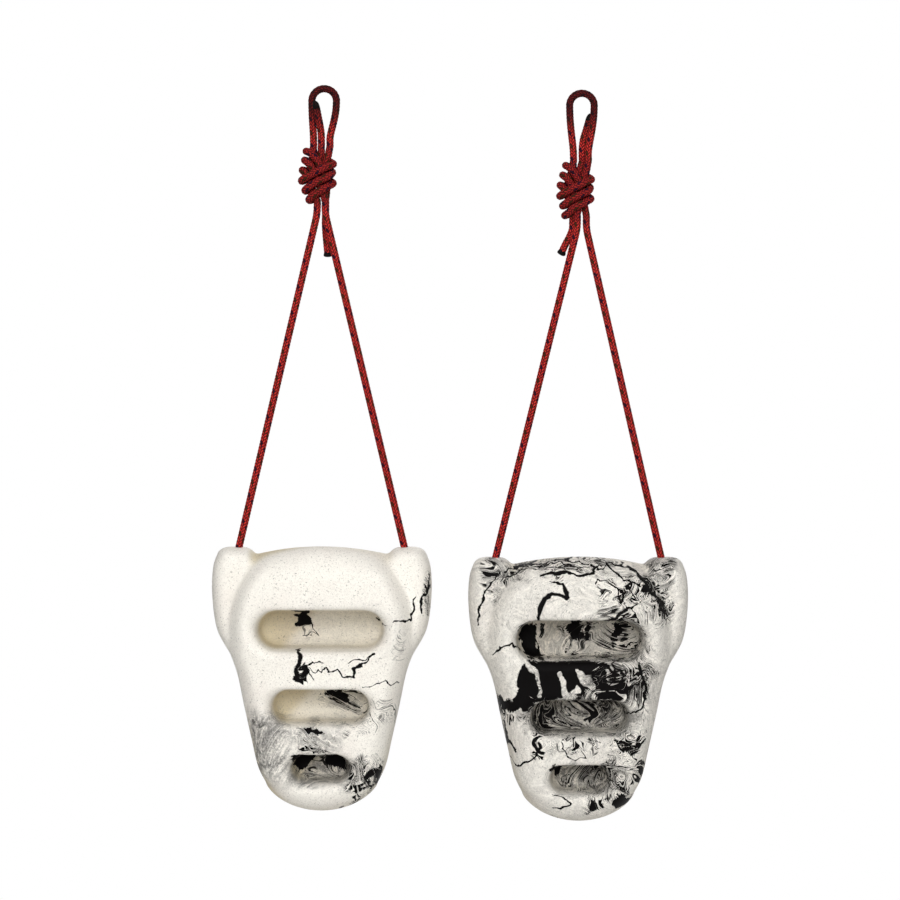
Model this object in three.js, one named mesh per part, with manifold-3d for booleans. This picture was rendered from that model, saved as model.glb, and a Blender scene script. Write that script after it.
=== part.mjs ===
import * as THREE from "three";
import { mergeVertices } from "three/addons/utils/BufferGeometryUtils.js";
import Module from "manifold-3d";

const wasm = await Module();
wasm.setup();

// Driving dimensions, in millimetres; depths are measured from the plane in which the cord hangs
const ringWidth = 158;
const ringHeight = 190;
const frontDepth = 34.2;
const backDepth = 22.8;
const ringSpacing = 184;
const cordDiameter = 5;
const tunnelDiameter = 7;
const seatGap = 0.3;
const tunnelGap = 0.4;
const strandGap = 0.5;
const overrun = 12;

// How each ring hangs: its hook's drop, then the knot, the casting and the eye's centre from the hook,
// which strands of the knot run on into the outer leg and into the tail, and where, across and back in
// cord pitches from the knot's middle, each strand leaves the knot for the legs and for the eye
const hangs = {
  left: {
    outward: -1,
    drop: 0,
    knotDrop: 59.5,
    knotX: -3.7,
    ringDrop: 325,
    eyeX: 1.8,
    legStrand: "c",
    tailStrand: "a",
    legPortShares: { a: [1.16, 0.64], b: [1.16, -0.5], c: [0.12, -0.5] },
    eyePortShares: { a: [-0.42, 0.5], b: [0.6, 0.5], c: [1.72, 0.5] },
  },
  right: {
    outward: 1,
    drop: 3.3,
    knotDrop: 67,
    knotX: -2.7,
    ringDrop: 329,
    eyeX: 2.6,
    legStrand: "a",
    tailStrand: "c",
    legPortShares: { a: [1.5, -0.5], b: [0.3, -1], c: [-0.25, -0.14] },
    eyePortShares: { a: [-0.12, 0.5], b: [1.05, 0.9], c: [1.8, 0.2] },
  },
};

// Outline of the casting seen from the front, measured down from the top of the jug
const halfWidth = ringWidth / 2;
const notchX = 47;
const domeSag = 6.5;
const earMidX = 62;
const earHalf = 13.5;
const earDrop = 1;
const earRound = 5;
const notchSoftness = 2;
const footHalf = 46;
const footHeight = 36;
const sideShares = [
  [0.028, 0.949],
  [0.074, 0.986],
  [0.158, 1.0],
  [0.263, 0.98],
  [0.326, 0.945],
  [0.368, 0.893],
  [0.416, 0.825],
  [0.484, 0.767],
  [0.595, 0.711],
  [0.732, 0.637],
  [0.832, 0.58],
  [0.9, 0.504],
];

// Front relief: the depth of the centre body down its length, and the valley beside the ear columns
const crown = 5;
const bodyRollShares = [
  [0, 0.98],
  [0.18, 1.0],
  [0.33, 0.973],
  [0.46, 0.892],
  [0.6, 0.874],
  [0.73, 0.82],
  [0.84, 0.748],
  [1.0, 0.64],
];
const valleyShares = [
  [0, 0.585],
  [0.045, 0.605],
  [0.11, 0.7],
  [0.18, 0.79],
  [0.27, 0.84],
  [0.38, 0.85],
  [0.5, 1.0],
];
const valleySoftness = 9;
const columnDepth = 15.2;
const columnRound = 11;
const bodyRound = 15;
const footRound = 17;
const jugRound = 22;
const earTopRound = 7;
const edgeY = 2.8;
const crestY = -11.2;
const crestFade = 24;
const backRound = 8;
const troughDepth = 8;
const troughHalf = 42;
const troughMidY = 5.8;
const troughReachY = 16;

// Finger pockets: places, openings, depth and the roll of each lip
const pockets = {
  fourFinger: {
    drop: 59,
    width: 91,
    height: 29.5,
    depth: 38,
  },
  threeFinger: {
    drop: 113.5,
    width: 70,
    height: 26,
    depth: 35,
  },
  twoFinger: {
    drop: 157.5,
    width: 42.5,
    height: 21.3,
    depth: 30,
  },
};
const lipTop = 3.5;
const lipBottom = 7;
const lipSide = 10;
const pocketDraft = 2;
const pocketRound = 7;
const pocketHollow = 1.5;
const pocketEndSteps = 8;
const pocketEdgeSteps = 5;
const lipAngles = [66, 44, 24, 8, 0].map(THREE.MathUtils.degToRad);

// Tunnel for the cord: down each ear, round a bend and across between two pockets
const tunnelX = 61;
const tunnelDrop = 87;
const tunnelBend = 27;
const mouthRound = 5;
const mouthEase = 0.2;
const mouthSides = 16;
const tunnelSides = 8;
const straightSteps = 2;
const bendSteps = 5;

// Cord
const cordRadius = cordDiameter / 2;
const cordSides = 8;
const cordStepShare = 2.4;
const leastSteps = 7;
const pitch = cordDiameter + strandGap;
const eyeRadius = 8.8;
const crownSteps = 12;
const tips = {
  short: {
    length: 5.6,
    radius: 2.6,
    shares: [[0, 0], [0.96, 0], [1, 0.2], [0.94, 0.5], [0.66, 0.85], [0.36, 1], [0, 1]],
  },
  tail: {
    length: 2.6,
    radius: 3.3,
    shares: [[0, 0], [0.76, 0], [0.96, 0.25], [1, 0.6], [0.84, 0.92], [0, 1]],
  },
};

function tableValue(rows, at) {
  const last = rows.length - 1;
  if (at <= rows[0][0]) return rows[0][1];
  if (at >= rows[last][0]) return rows[last][1];
  const i = rows.findIndex((row) => row[0] > at) - 1;
  const slope = (a, b) => (rows[b][1] - rows[a][1]) / (rows[b][0] - rows[a][0]);
  const span = rows[i + 1][0] - rows[i][0];
  const enter = slope(Math.max(i - 1, 0), i + 1);
  const leave = slope(i, Math.min(i + 2, last));
  const u = (at - rows[i][0]) / span;
  const rise = rows[i + 1][1] - rows[i][1];
  const bend = (enter + leave) * span - 2 * rise;
  return rows[i][1] + u * (enter * span + u * (3 * rise - (2 * enter + leave) * span + u * bend));
}

function softMax(a, b, softness) {
  return (a + b + Math.hypot(a - b, softness)) / 2;
}

// The larger of two depths, with a fillet where they come within reach of each other
function filletMax(a, b, reach) {
  const close = Math.max(reach - Math.abs(a - b), 0);
  return Math.max(a, b) + close ** 2 / (4 * reach);
}

// A quarter round: 0 at the edge, 1 from one radius in
function roll(distance, radius) {
  const share = Math.min(Math.max(distance / radius, 0), 1);
  return Math.sqrt(1 - (1 - share) ** 2);
}

function fade(distance, reach) {
  const share = Math.min(Math.abs(distance / reach), 1);
  return (1 - share ** 2) ** 2;
}

const sideHalf = (drop) => halfWidth * tableValue(sideShares, drop / ringHeight);
const valleyX = (drop) => halfWidth * tableValue(valleyShares, drop / ringHeight);

function topDrop(x) {
  const dome = domeSag * (x / notchX) ** 2;
  const ear = earDrop + earRound * ((Math.abs(x) - earMidX) / earHalf) ** 4;
  return Math.max(-softMax(-dome, -ear, notchSoftness), 0);
}

function footDrop(x) {
  const share = Math.min(Math.abs(x) / footHalf, 1);
  return ringHeight - footHeight * (1 - Math.sqrt(1 - share ** 2));
}

const shoulderHalf = sideHalf(0);
const heelHalf = sideHalf(ringHeight);
const shoulderDrop = topDrop(shoulderHalf);
const heelDrop = footDrop(heelHalf);

// Height above the rounded foot, along the same share of the width
const aboveFoot = (x, drop) => footDrop((x / sideHalf(drop)) * heelHalf) - drop;

// The plane in which the outline lies moves forward at the crest of the jug
function edgeDepth(x, below) {
  return edgeY + (crestY - edgeY) * fade(below, crestFade) * fade(x, notchX);
}

// Front of the casting at a place on its outline: y is negative towards the front
function frontY(x, drop) {
  const across = Math.abs(x);
  const side = sideHalf(drop);
  const below = drop - topDrop(x);
  const edge = edgeDepth(x, below);
  const bodyEdge = -filletMax(-valleyX(drop), -side, valleySoftness);
  const full = frontDepth * tableValue(bodyRollShares, drop / ringHeight);
  const body = (full - crown * (across / bodyEdge) ** 2 + edge) * roll(bodyEdge - across, bodyRound);
  const column = (columnDepth + edge) * roll(side - across, columnRound);
  const relief = filletMax(body, column, valleySoftness);
  const jugShare = fade(Math.max(across - notchX / 2, 0), notchX);
  const topRound = earTopRound + (jugRound - earTopRound) * jugShare;
  const ends = roll(below, topRound) * roll(aboveFoot(x, drop), footRound);
  return edge - relief * roll(side - across, notchSoftness) * ends;
}

function backY(x, drop) {
  const below = drop - topDrop(x);
  const edge = edgeDepth(x, below);
  const sides = roll(sideHalf(drop) - Math.abs(x), backRound);
  const ends = roll(below, backRound) * roll(aboveFoot(x, drop), backRound);
  return edge + (backDepth - edge) * sides * ends;
}

// Levels down the casting and shares across it, closer together where the surface rolls over
const topLevelShares = [0, 0.02, 0.07, 0.16, 0.32, 0.6, 1];
const heelLevelShares = [0.7, 0.36, 0.13, 0.03, 0];
const middleLevels = 9;
const innerShares = [0, 0.2, 0.4, 0.58, 0.74, 0.87, 0.95, 1];
const outerShares = [0.3, 0.58, 0.8, 0.94, 1];
const edgeZone = 9;
const sideLength = heelDrop - shoulderDrop;
const firstMiddle = jugRound / sideLength;
const lastMiddle = 1 - (heelLevelShares[0] * footRound) / sideLength;
const levelShares = [
  ...topLevelShares.map((share) => share * firstMiddle),
  ...Array.from({ length: middleLevels }, (_, i) => {
    return firstMiddle + ((i + 1) * (lastMiddle - firstMiddle)) / (middleLevels + 1);
  }),
  ...heelLevelShares.map((share) => 1 - (share * footRound) / sideLength),
];

function acrossShares(drop) {
  const side = sideHalf(drop);
  const inner = Math.min(valleyX(drop), side - edgeZone) / side;
  const half = [
    ...innerShares.map((share) => share * inner),
    ...outerShares.map((share) => inner + share * (1 - inner)),
  ];
  return [...half.slice(1).reverse().map((share) => -share), ...half];
}

function asSolid(geometry) {
  const plain = geometry.clone();
  plain.deleteAttribute("normal");
  plain.deleteAttribute("uv");
  const merged = mergeVertices(plain);
  return new wasm.Manifold(
    new wasm.Mesh({
      numProp: 3,
      vertProperties: merged.attributes.position.array,
      triVerts: new Uint32Array(merged.index.array),
    }),
  );
}

function asGeometry(solid) {
  const { vertProperties, triVerts, numProp } = solid.getMesh();
  const geometry = new THREE.BufferGeometry();
  const points = new THREE.InterleavedBuffer(vertProperties, numProp);
  geometry.setAttribute("position", new THREE.InterleavedBufferAttribute(points, 3, 0));
  geometry.setIndex(new THREE.BufferAttribute(triVerts, 1));
  const flat = geometry.toNonIndexed();
  flat.computeVertexNormals();
  return flat;
}

function fromRows(positions, triangles) {
  const geometry = new THREE.BufferGeometry();
  geometry.setAttribute("position", new THREE.Float32BufferAttribute(positions.flat(), 3));
  geometry.setIndex(triangles.flat());
  return geometry;
}

// The casting before its pockets are cut: a front and a back grid that meet on the outline
function blank() {
  const rows = levelShares.map((level) => {
    const sideDrop = shoulderDrop + level * sideLength;
    return acrossShares(sideDrop).map((share) => {
      const top = topDrop(share * shoulderHalf);
      const drop = top + level * (footDrop(share * heelHalf) - top);
      return [share * sideHalf(sideDrop), drop];
    });
  });
  const wide = rows[0].length;
  const onRim = (row, i) => row === 0 || row === rows.length - 1 || i === 0 || i === wide - 1;
  const positions = [];
  const front = rows.map((row) =>
    row.map(([x, drop]) => positions.push([x, frontY(x, drop), -drop]) - 1),
  );
  const back = rows.map((row, level) =>
    row.map(([x, drop], i) => {
      if (onRim(level, i)) return front[level][i];
      const y = backY(x, drop);
      const below = drop - topDrop(x);
      const sunk = troughDepth * fade(y - troughMidY, troughReachY) * fade(x, troughHalf);
      return positions.push([x, y, -drop - sunk * fade(below, crestFade)]) - 1;
    }),
  );
  const triangles = [];
  for (let level = 0; level + 1 < rows.length; level++) {
    for (let i = 0; i + 1 < wide; i++) {
      const corners = [[level, i], [level + 1, i], [level + 1, i + 1], [level, i + 1]];
      const [a, b, c, d] = corners.map(([r, n]) => front[r][n]);
      const [e, f, g, h] = corners.map(([r, n]) => back[r][n]);
      triangles.push([a, b, c], [a, c, d], [e, g, f], [e, h, g]);
    }
  }
  return fromRows(positions, triangles.filter(([a, b, c]) => a !== b && b !== c && a !== c));
}

// Points round a stadium, each with its outward direction
function stadium(width, height) {
  const radius = height / 2;
  const reach = (width - height) / 2;
  return [1, -1].flatMap((side) => {
    const end = Array.from({ length: pocketEndSteps + 1 }, (_, i) => {
      const angle = Math.PI * (i / pocketEndSteps - 0.5);
      const out = [side * Math.cos(angle), side * Math.sin(angle)];
      return { x: side * reach + radius * out[0], z: radius * out[1], out };
    });
    const edge = Array.from({ length: pocketEdgeSteps - 1 }, (_, i) => {
      const share = 1 - (2 * (i + 1)) / pocketEdgeSteps;
      return { x: side * reach * share, z: side * radius, out: [0, side] };
    });
    return [...end, ...edge];
  });
}

// A closed body from rings of points, with a fan of triangles over each end
function closedRings(rings, first, last) {
  const count = rings[0].length;
  const positions = [...rings.flat(), first, last];
  const triangles = [];
  for (let r = 0; r + 1 < rings.length; r++) {
    for (let i = 0; i < count; i++) {
      const j = (i + 1) % count;
      const [a, b, c, d] = [r * count + i, r * count + j, (r + 1) * count + j, (r + 1) * count + i];
      triangles.push([a, c, b], [a, d, c]);
    }
  }
  const end = (rings.length - 1) * count;
  for (let i = 0; i < count; i++) {
    const j = (i + 1) % count;
    triangles.push([positions.length - 2, i, j], [positions.length - 1, end + j, end + i]);
  }
  return fromRows(positions, triangles);
}

// A cutter for one pocket: its mouth rolls out to meet the front of the casting
function pocketCutter(pocket) {
  const mouthY = -frontDepth - overrun;
  const floorY = frontY(0, pocket.drop) + pocket.depth;
  const ring = stadium(pocket.width, pocket.height);
  const lip = ({ out }) =>
    lipSide * out[0] ** 2 + (out[1] > 0 ? lipTop : lipBottom) * out[1] ** 2;
  const at = (point, offset) => [
    point.x + offset * point.out[0],
    pocket.drop - point.z - offset * point.out[1],
  ];
  const onSkin = (point, offset, depth) => {
    const [x, drop] = at(point, offset);
    return [x, frontY(x, drop) + depth, -drop];
  };
  const onWall = (point, offset, y) => {
    const [x, drop] = at(point, offset);
    return [x, y, -drop];
  };
  const corner = (angle) => ring.map((p) => {
    const inset = pocketDraft + pocketRound * (1 - Math.cos(angle));
    return onWall(p, -inset, floorY - pocketRound * (1 - Math.sin(angle)));
  });
  const rings = [
    ring.map((p) => onWall(p, lip(p), mouthY)),
    ring.map((p) => onSkin(p, lip(p), lip(p) * (1 - 1 / Math.sin(lipAngles[0])))),
    ...lipAngles.map((angle) =>
      ring.map((p) => onSkin(p, lip(p) * (1 - Math.cos(angle)), lip(p) * (1 - Math.sin(angle)))),
    ),
    ...[0, Math.PI / 4, Math.PI / 2].map(corner),
  ];
  return closedRings(rings, [0, mouthY, -pocket.drop], [0, floorY + pocketHollow, -pocket.drop]);
}

function roundSection(radius, sides) {
  const points = Array.from({ length: sides }, (_, i) => {
    const angle = (2 * Math.PI * i) / sides;
    return new THREE.Vector2(radius * Math.cos(angle), radius * Math.sin(angle));
  });
  return new THREE.Shape(points);
}

function tube(curve, radius, sides, steps = curve.steps) {
  return new THREE.ExtrudeGeometry(roundSection(radius, sides), { extrudePath: curve, steps });
}

const inPlane = (x, z) => new THREE.Vector3(x, 0, z);

function arc(centreX, centreZ, radius, from, to) {
  const bend = new THREE.Curve();
  bend.getPoint = (t) => {
    const angle = from + t * (to - from);
    return inPlane(centreX + radius * Math.cos(angle), centreZ + radius * Math.sin(angle));
  };
  return bend;
}

// Curves joined end to end, each with its own number of steps
function joined(parts) {
  const path = new THREE.Curve();
  path.steps = parts.reduce((sum, [, steps]) => sum + steps, 0);
  path.getPoint = (t) => {
    let place = t * path.steps;
    const [curve, steps] = parts.find(([, count]) => {
      if (place <= count) return true;
      place -= count;
      return false;
    }) ?? parts.at(-1);
    return curve.getPoint(Math.min(place / steps, 1));
  };
  path.getSpacedPoints = path.getPoints;
  path.getTangentAt = path.getTangent;
  return path;
}

// The way of the cord through the casting, drawn in by the given offset towards the top
function tunnelCurve(offset, reachZ) {
  const bendX = tunnelX - tunnelBend;
  const bendZ = tunnelBend - tunnelDrop;
  const radius = tunnelBend - offset;
  const line = (from, to) => [new THREE.LineCurve3(inPlane(...from), inPlane(...to)), straightSteps];
  return joined([
    line([-bendX - radius, reachZ], [-bendX - radius, bendZ]),
    [arc(-bendX, bendZ, radius, Math.PI, 1.5 * Math.PI), bendSteps],
    line([-bendX, bendZ - radius], [bendX, bendZ - radius]),
    [arc(bendX, bendZ, radius, -Math.PI / 2, 0), bendSteps],
    line([bendX + radius, bendZ], [bendX + radius, reachZ]),
  ]);
}

const earTopZ = -topDrop(tunnelX);
const mouthZ = earTopZ - mouthRound;

// The flare at each end of the tunnel, a little wider than the tunnel where it starts
function mouthCutter(side) {
  const least = tunnelDiameter / 2 + mouthEase;
  const flare = lipAngles.map((angle) => {
    const out = least + mouthRound * (1 - Math.cos(angle));
    return new THREE.Vector2(out, mouthZ + mouthRound * Math.sin(angle));
  });
  const profile = [
    new THREE.Vector2(0, mouthZ),
    ...flare.reverse(),
    new THREE.Vector2(least + mouthRound, earTopZ + mouthEase),
    new THREE.Vector2(least + mouthRound, earTopZ + overrun),
    new THREE.Vector2(0, earTopZ + overrun),
  ];
  const cutter = new THREE.LatheGeometry(profile, mouthSides).rotateX(Math.PI / 2);
  return cutter.translate(side * tunnelX, 0, 0);
}

function ringCasting() {
  const bore = tube(tunnelCurve(0, overrun), tunnelDiameter / 2, tunnelSides);
  const cutters = [...Object.values(pockets).map(pocketCutter), bore, mouthCutter(-1), mouthCutter(1)];
  return asGeometry(cutters.reduce((solid, cutter) => solid.subtract(asSolid(cutter)), asSolid(blank())));
}

// The overhand knot tied in three strands: the middle strand's way and the step to its neighbours,
// in cord pitches, from the legs up to the eye. Each row is x, y, z and the step in x, y, z.
const knotShares = [
  [0.05, -0.5, -1.2, 1.02, 0, 0.15],
  [-0.1, -0.5, 0.2, 0.95, 0, 0.4],
  [-0.5, -0.5, 1.3, 0.65, 0, 0.85],
  [-1.15, -0.4, 2.0, 0.35, 0, 1.2],
  [-1.65, 0.4, 2.2, 0.38, 0, 1.3],
  [-1.1, 1.4, 2.1, 0.38, 0, 1.3],
  [0.2, 1.6, 1.5, 0.15, 0, 1.25],
  [1.4, 1.35, 0.8, 0, 0, 1.22],
  [2.05, 0.45, 0.35, 0, 0, 1.25],
  [2.05, -0.5, 0.05, 0, 0, 1.28],
  [1.35, -1.4, -0.45, 0, 0, 1.3],
  [0.15, -1.6, -1.05, 0, 0, 1.3],
  [-1.05, -1.4, -1.75, -0.25, 0, 1.3],
  [-1.7, -0.5, -2.15, -0.38, 0, 1.3],
  [-1.2, 0.4, -2.35, -0.38, 0, 1.25],
  [-0.4, 0.52, -1.9, -0.6, 0, 0.95],
  [0.0, 0.5, -0.8, -0.95, 0, 0.4],
  [0.05, 0.5, 0.6, -1.0, 0, 0.1],
  [0.3, 0.5, 2.2, -1.0, 0, 0],
];
// Heights of a strand's first and last places, in line with where it leaves the knot
const legPortHeightShares = [-4.1, -3.4];
const eyePortHeightShares = [3.8, 4.5];
const strandSteps = { a: 1, b: 0, c: -1 };
const strandPoints = 120;
const heldPoints = 5;
const ownReach = 8;
const settleRounds = 160;
const settleShare = 0.35;
const ironShare = 0.4;
const knotSteps = 48;
const knotSides = 6;

const inPitches = (...shares) => new THREE.Vector3(...shares).multiplyScalar(pitch);

function strandWay(hang, name) {
  const step = strandSteps[name];
  return [
    ...legPortHeightShares.map((z) => inPitches(...hang.legPortShares[name], z)),
    ...knotShares.map(([x, y, z, dx, dy, dz]) => inPitches(x + step * dx, y + step * dy, z + step * dz)),
    ...eyePortHeightShares.map((z) => inPitches(...hang.eyePortShares[name], z)),
  ];
}

// Strands that lie closer than their pitch push each other apart until the knot sits
function settledKnot(hang) {
  const names = Object.keys(strandSteps);
  const strands = names.map((name) => {
    return new THREE.CatmullRomCurve3(strandWay(hang, name)).getSpacedPoints(strandPoints);
  });
  const all = strands.flat();
  const size = strandPoints + 1;
  const held = (i) => i % size < heldPoints || i % size > strandPoints - heldPoints;
  const near = (i, j) => Math.floor(i / size) === Math.floor(j / size) && j - i < ownReach;
  const push = new THREE.Vector3();
  for (let round = 0; round < settleRounds; round++) {
    for (let i = 0; i < all.length; i++) {
      for (let j = i + 1; j < all.length; j++) {
        if (near(i, j)) continue;
        push.subVectors(all[j], all[i]);
        const distance = push.length();
        if (distance >= pitch) continue;
        push.multiplyScalar(((pitch - distance) / distance) * settleShare);
        if (!held(i)) all[i].sub(push);
        if (!held(j)) all[j].add(push);
      }
    }
    const share = ironShare * (1 - (round + 1) / settleRounds);
    const ironed = all.map((point, i) => {
      if (held(i)) return point.clone();
      return point.clone().lerp(all[i - 1].clone().lerp(all[i + 1], 0.5), share);
    });
    all.forEach((point, i) => point.copy(ironed[i]));
  }
  return Object.fromEntries(names.map((name, i) => [name, all.slice(i * size, (i + 1) * size)]));
}

function leastGap(strands) {
  const names = Object.keys(strands);
  let least = Infinity;
  names.forEach((name, n) => {
    names.slice(n).forEach((other) => {
      strands[name].forEach((point, i) => {
        strands[other].forEach((rival, j) => {
          if (name === other && j - i < ownReach) return;
          least = Math.min(least, point.distanceTo(rival));
        });
      });
    });
  });
  return least - cordDiameter;
}

// Free ends of each cord, from where they leave the knot, in cord diameters
const freeEndShares = {
  left: {
    short: [[-0.02, -0.05, 1], [-0.18, -0.6, 2.2], [-0.38, -1.2, 3.3], [-0.58, -1.5, 4.4]],
    tail: [[-0.02, 0.03, -1], [-0.06, 0.26, -2.2], [0, 0.46, -3.6], [0.12, 0.52, -5], [0.26, 0.5, -6.5]],
  },
  right: {
    short: [[0.01, 0.03, 1], [0.18, 0.3, 2.4], [0.6, 0.62, 3.8], [0.98, 0.74, 5.1]],
    tail: [[-0.04, 0.04, -1], [-0.4, 0.22, -2], [-0.98, 0.3, -3.1], [-1.5, 0.3, -4.2]],
  },
};

// Sides of the eye: shares of the way down from the crown and of the way across to the knot
const eyeStrandShares = [
  [0, 0],
  [0.2, 0.07],
  [0.4, 0.26],
  [0.6, 0.54],
  [0.78, 0.82],
  [0.92, 0.98],
  [1, 1],
];
const cordOffset = tunnelDiameter / 2 - cordRadius - tunnelGap;
const legEndZ = mouthZ - cordDiameter;
const crownZ = cordRadius - eyeRadius;

const castResin = new THREE.MeshStandardMaterial({ color: 0xd9d6cd, roughness: 0.55, metalness: 0 });
const marbledResin = new THREE.MeshStandardMaterial({ color: 0x8d8b88, roughness: 0.55, metalness: 0 });
const redCord = new THREE.MeshStandardMaterial({ color: 0xa3323a, roughness: 0.85, metalness: 0 });
const meltedEnd = new THREE.MeshStandardMaterial({ color: 0x1c1718, roughness: 0.45, metalness: 0 });

const up = new THREE.Vector3(0, 0, 1);

// Where a strand leaves the knot for the legs or the eye, from the hook
function legPort(hang, strand) {
  return inPitches(...hang.legPortShares[strand], legPortHeightShares[0]).add(inPlane(hang.knotX, -hang.knotDrop));
}

function eyePort(hang, strand) {
  return inPitches(...hang.eyePortShares[strand], eyePortHeightShares[1]).add(inPlane(hang.knotX, -hang.knotDrop));
}

function stretch(points) {
  const curve = new THREE.CatmullRomCurve3(points);
  const steps = Math.round(curve.getLength() / (cordDiameter * cordStepShare));
  return tube(curve, cordRadius, cordSides, Math.max(steps, leastSteps));
}

function crownTube(hang) {
  return tube(arc(hang.eyeX, crownZ, eyeRadius, Math.PI, 0), cordRadius, cordSides, crownSteps);
}

function eyeStrand(hang, side, strand) {
  const from = new THREE.Vector3(hang.eyeX + side * eyeRadius, 0, crownZ - seatGap);
  const to = eyePort(hang, strand).addScaledVector(up, seatGap);
  return stretch(eyeStrandShares.map(([down, across]) => {
    return from.clone().lerp(to, across).setZ(from.z + down * (to.z - from.z));
  }));
}

// A leg runs straight between two short bends, one below the knot and one in the mouth of the tunnel
function leg(hang, side, strand) {
  const start = legPort(hang, strand).addScaledVector(up, -seatGap);
  const end = inPlane(side * (tunnelX - cordOffset), legEndZ - hang.ringDrop);
  const upperKnee = start.clone().addScaledVector(up, -cordDiameter);
  const lowerKnee = end.clone().addScaledVector(up, cordDiameter);
  const along = lowerKnee.clone().sub(upperKnee).setLength(cordDiameter);
  const from = upperKnee.clone().add(along);
  const to = lowerKnee.clone().sub(along);
  const run = new THREE.LineCurve3(from, to);
  const path = joined([
    [new THREE.QuadraticBezierCurve3(start, upperKnee, from), bendSteps],
    [run, Math.round(run.getLength() / (cordDiameter * cordStepShare))],
    [new THREE.QuadraticBezierCurve3(to, lowerKnee, end), bendSteps],
  ]);
  return tube(path, cordRadius, cordSides);
}

function freeEnd(port, shares) {
  const start = port.addScaledVector(up, Math.sign(shares[0][2]) * seatGap);
  return [start, ...shares.map((share) => start.clone().addScaledVector(new THREE.Vector3(...share), cordDiameter))];
}

function piece(name, geometry, material) {
  const mesh = new THREE.Mesh(geometry, material);
  mesh.name = name;
  return mesh;
}

// The melted end of the cord, in line with the last run of its points
function meltedTip(name, points, { length, radius, shares }) {
  const profile = shares.map(([out, along]) => new THREE.Vector2(out * radius, along * length));
  const tip = piece(name, new THREE.LatheGeometry(profile, cordSides), meltedEnd);
  const along = points.at(-1).clone().sub(points.at(-2)).normalize();
  tip.quaternion.setFromUnitVectors(new THREE.Vector3(0, 1, 0), along);
  tip.position.copy(points.at(-1)).addScaledVector(along, seatGap);
  return tip;
}

function hangingCord(side, hang) {
  const short = freeEnd(eyePort(hang, "b"), freeEndShares[side].short);
  const tail = freeEnd(legPort(hang, hang.tailStrand), freeEndShares[side].tail);
  const cord = new THREE.Group();
  cord.add(
    piece(`${side}_eye_crown`, crownTube(hang), redCord),
    piece(`${side}_eye_strand_a`, eyeStrand(hang, -1, "a"), redCord),
    piece(`${side}_eye_strand_b`, eyeStrand(hang, 1, "c"), redCord),
    piece(`${side}_outer_cord_leg`, leg(hang, hang.outward, hang.legStrand), redCord),
    piece(`${side}_inner_cord_leg`, leg(hang, -hang.outward, "b"), redCord),
    piece(`${side}_short_end`, stretch(short), redCord),
    meltedTip(`${side}_short_end_tip`, short, tips.short),
    piece(`${side}_tail_end`, stretch(tail), redCord),
    meltedTip(`${side}_tail_end_tip`, tail, tips.tail),
  );
  const knot = settledKnot(hang);
  console.log(`${side} knot: least gap between its strands ${leastGap(knot).toFixed(2)} mm`);
  const knotPlace = new THREE.Group();
  knotPlace.position.set(hang.knotX, 0, -hang.knotDrop);
  for (const [strand, points] of Object.entries(knot)) {
    const geometry = tube(new THREE.CatmullRomCurve3(points), cordRadius, knotSides, knotSteps);
    knotPlace.add(piece(`${side}_knot_strand_${strand}`, geometry, redCord));
  }
  cord.add(knotPlace);
  return cord;
}

const casting = ringCasting();
const cordInTunnel = tube(tunnelCurve(cordOffset, legEndZ - seatGap), cordRadius, tunnelSides);
const group = new THREE.Group();
for (const [side, hang] of Object.entries(hangs)) {
  const ring = new THREE.Group();
  ring.position.z = -hang.ringDrop;
  ring.add(piece(`${side}_ring_casting`, casting, side === "left" ? castResin : marbledResin));
  ring.add(piece(`${side}_cord_in_tunnel`, cordInTunnel, redCord));
  const hanger = new THREE.Group();
  hanger.position.set((hang.outward * ringSpacing) / 2, 0, -hang.drop);
  hanger.add(ring, hangingCord(side, hang));
  group.add(hanger);
}

export default group;
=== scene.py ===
import math

import bpy
import numpy as np
from mathutils import Matrix, Vector


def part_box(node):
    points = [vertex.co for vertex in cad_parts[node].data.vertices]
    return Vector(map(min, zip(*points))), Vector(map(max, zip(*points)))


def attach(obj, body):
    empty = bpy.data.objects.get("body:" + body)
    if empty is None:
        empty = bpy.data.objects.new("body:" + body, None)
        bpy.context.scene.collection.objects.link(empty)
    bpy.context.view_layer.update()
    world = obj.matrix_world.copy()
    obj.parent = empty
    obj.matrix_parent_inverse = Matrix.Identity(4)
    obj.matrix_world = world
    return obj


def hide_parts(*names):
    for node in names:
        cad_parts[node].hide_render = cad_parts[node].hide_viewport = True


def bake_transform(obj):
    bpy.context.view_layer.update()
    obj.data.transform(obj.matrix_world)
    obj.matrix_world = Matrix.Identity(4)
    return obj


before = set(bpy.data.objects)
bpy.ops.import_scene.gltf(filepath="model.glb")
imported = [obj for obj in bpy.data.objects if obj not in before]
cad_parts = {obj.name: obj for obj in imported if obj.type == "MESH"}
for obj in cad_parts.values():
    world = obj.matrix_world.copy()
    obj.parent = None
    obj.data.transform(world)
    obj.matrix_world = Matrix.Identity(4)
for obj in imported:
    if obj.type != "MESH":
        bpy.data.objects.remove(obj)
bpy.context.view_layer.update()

MM = 0.001

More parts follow.
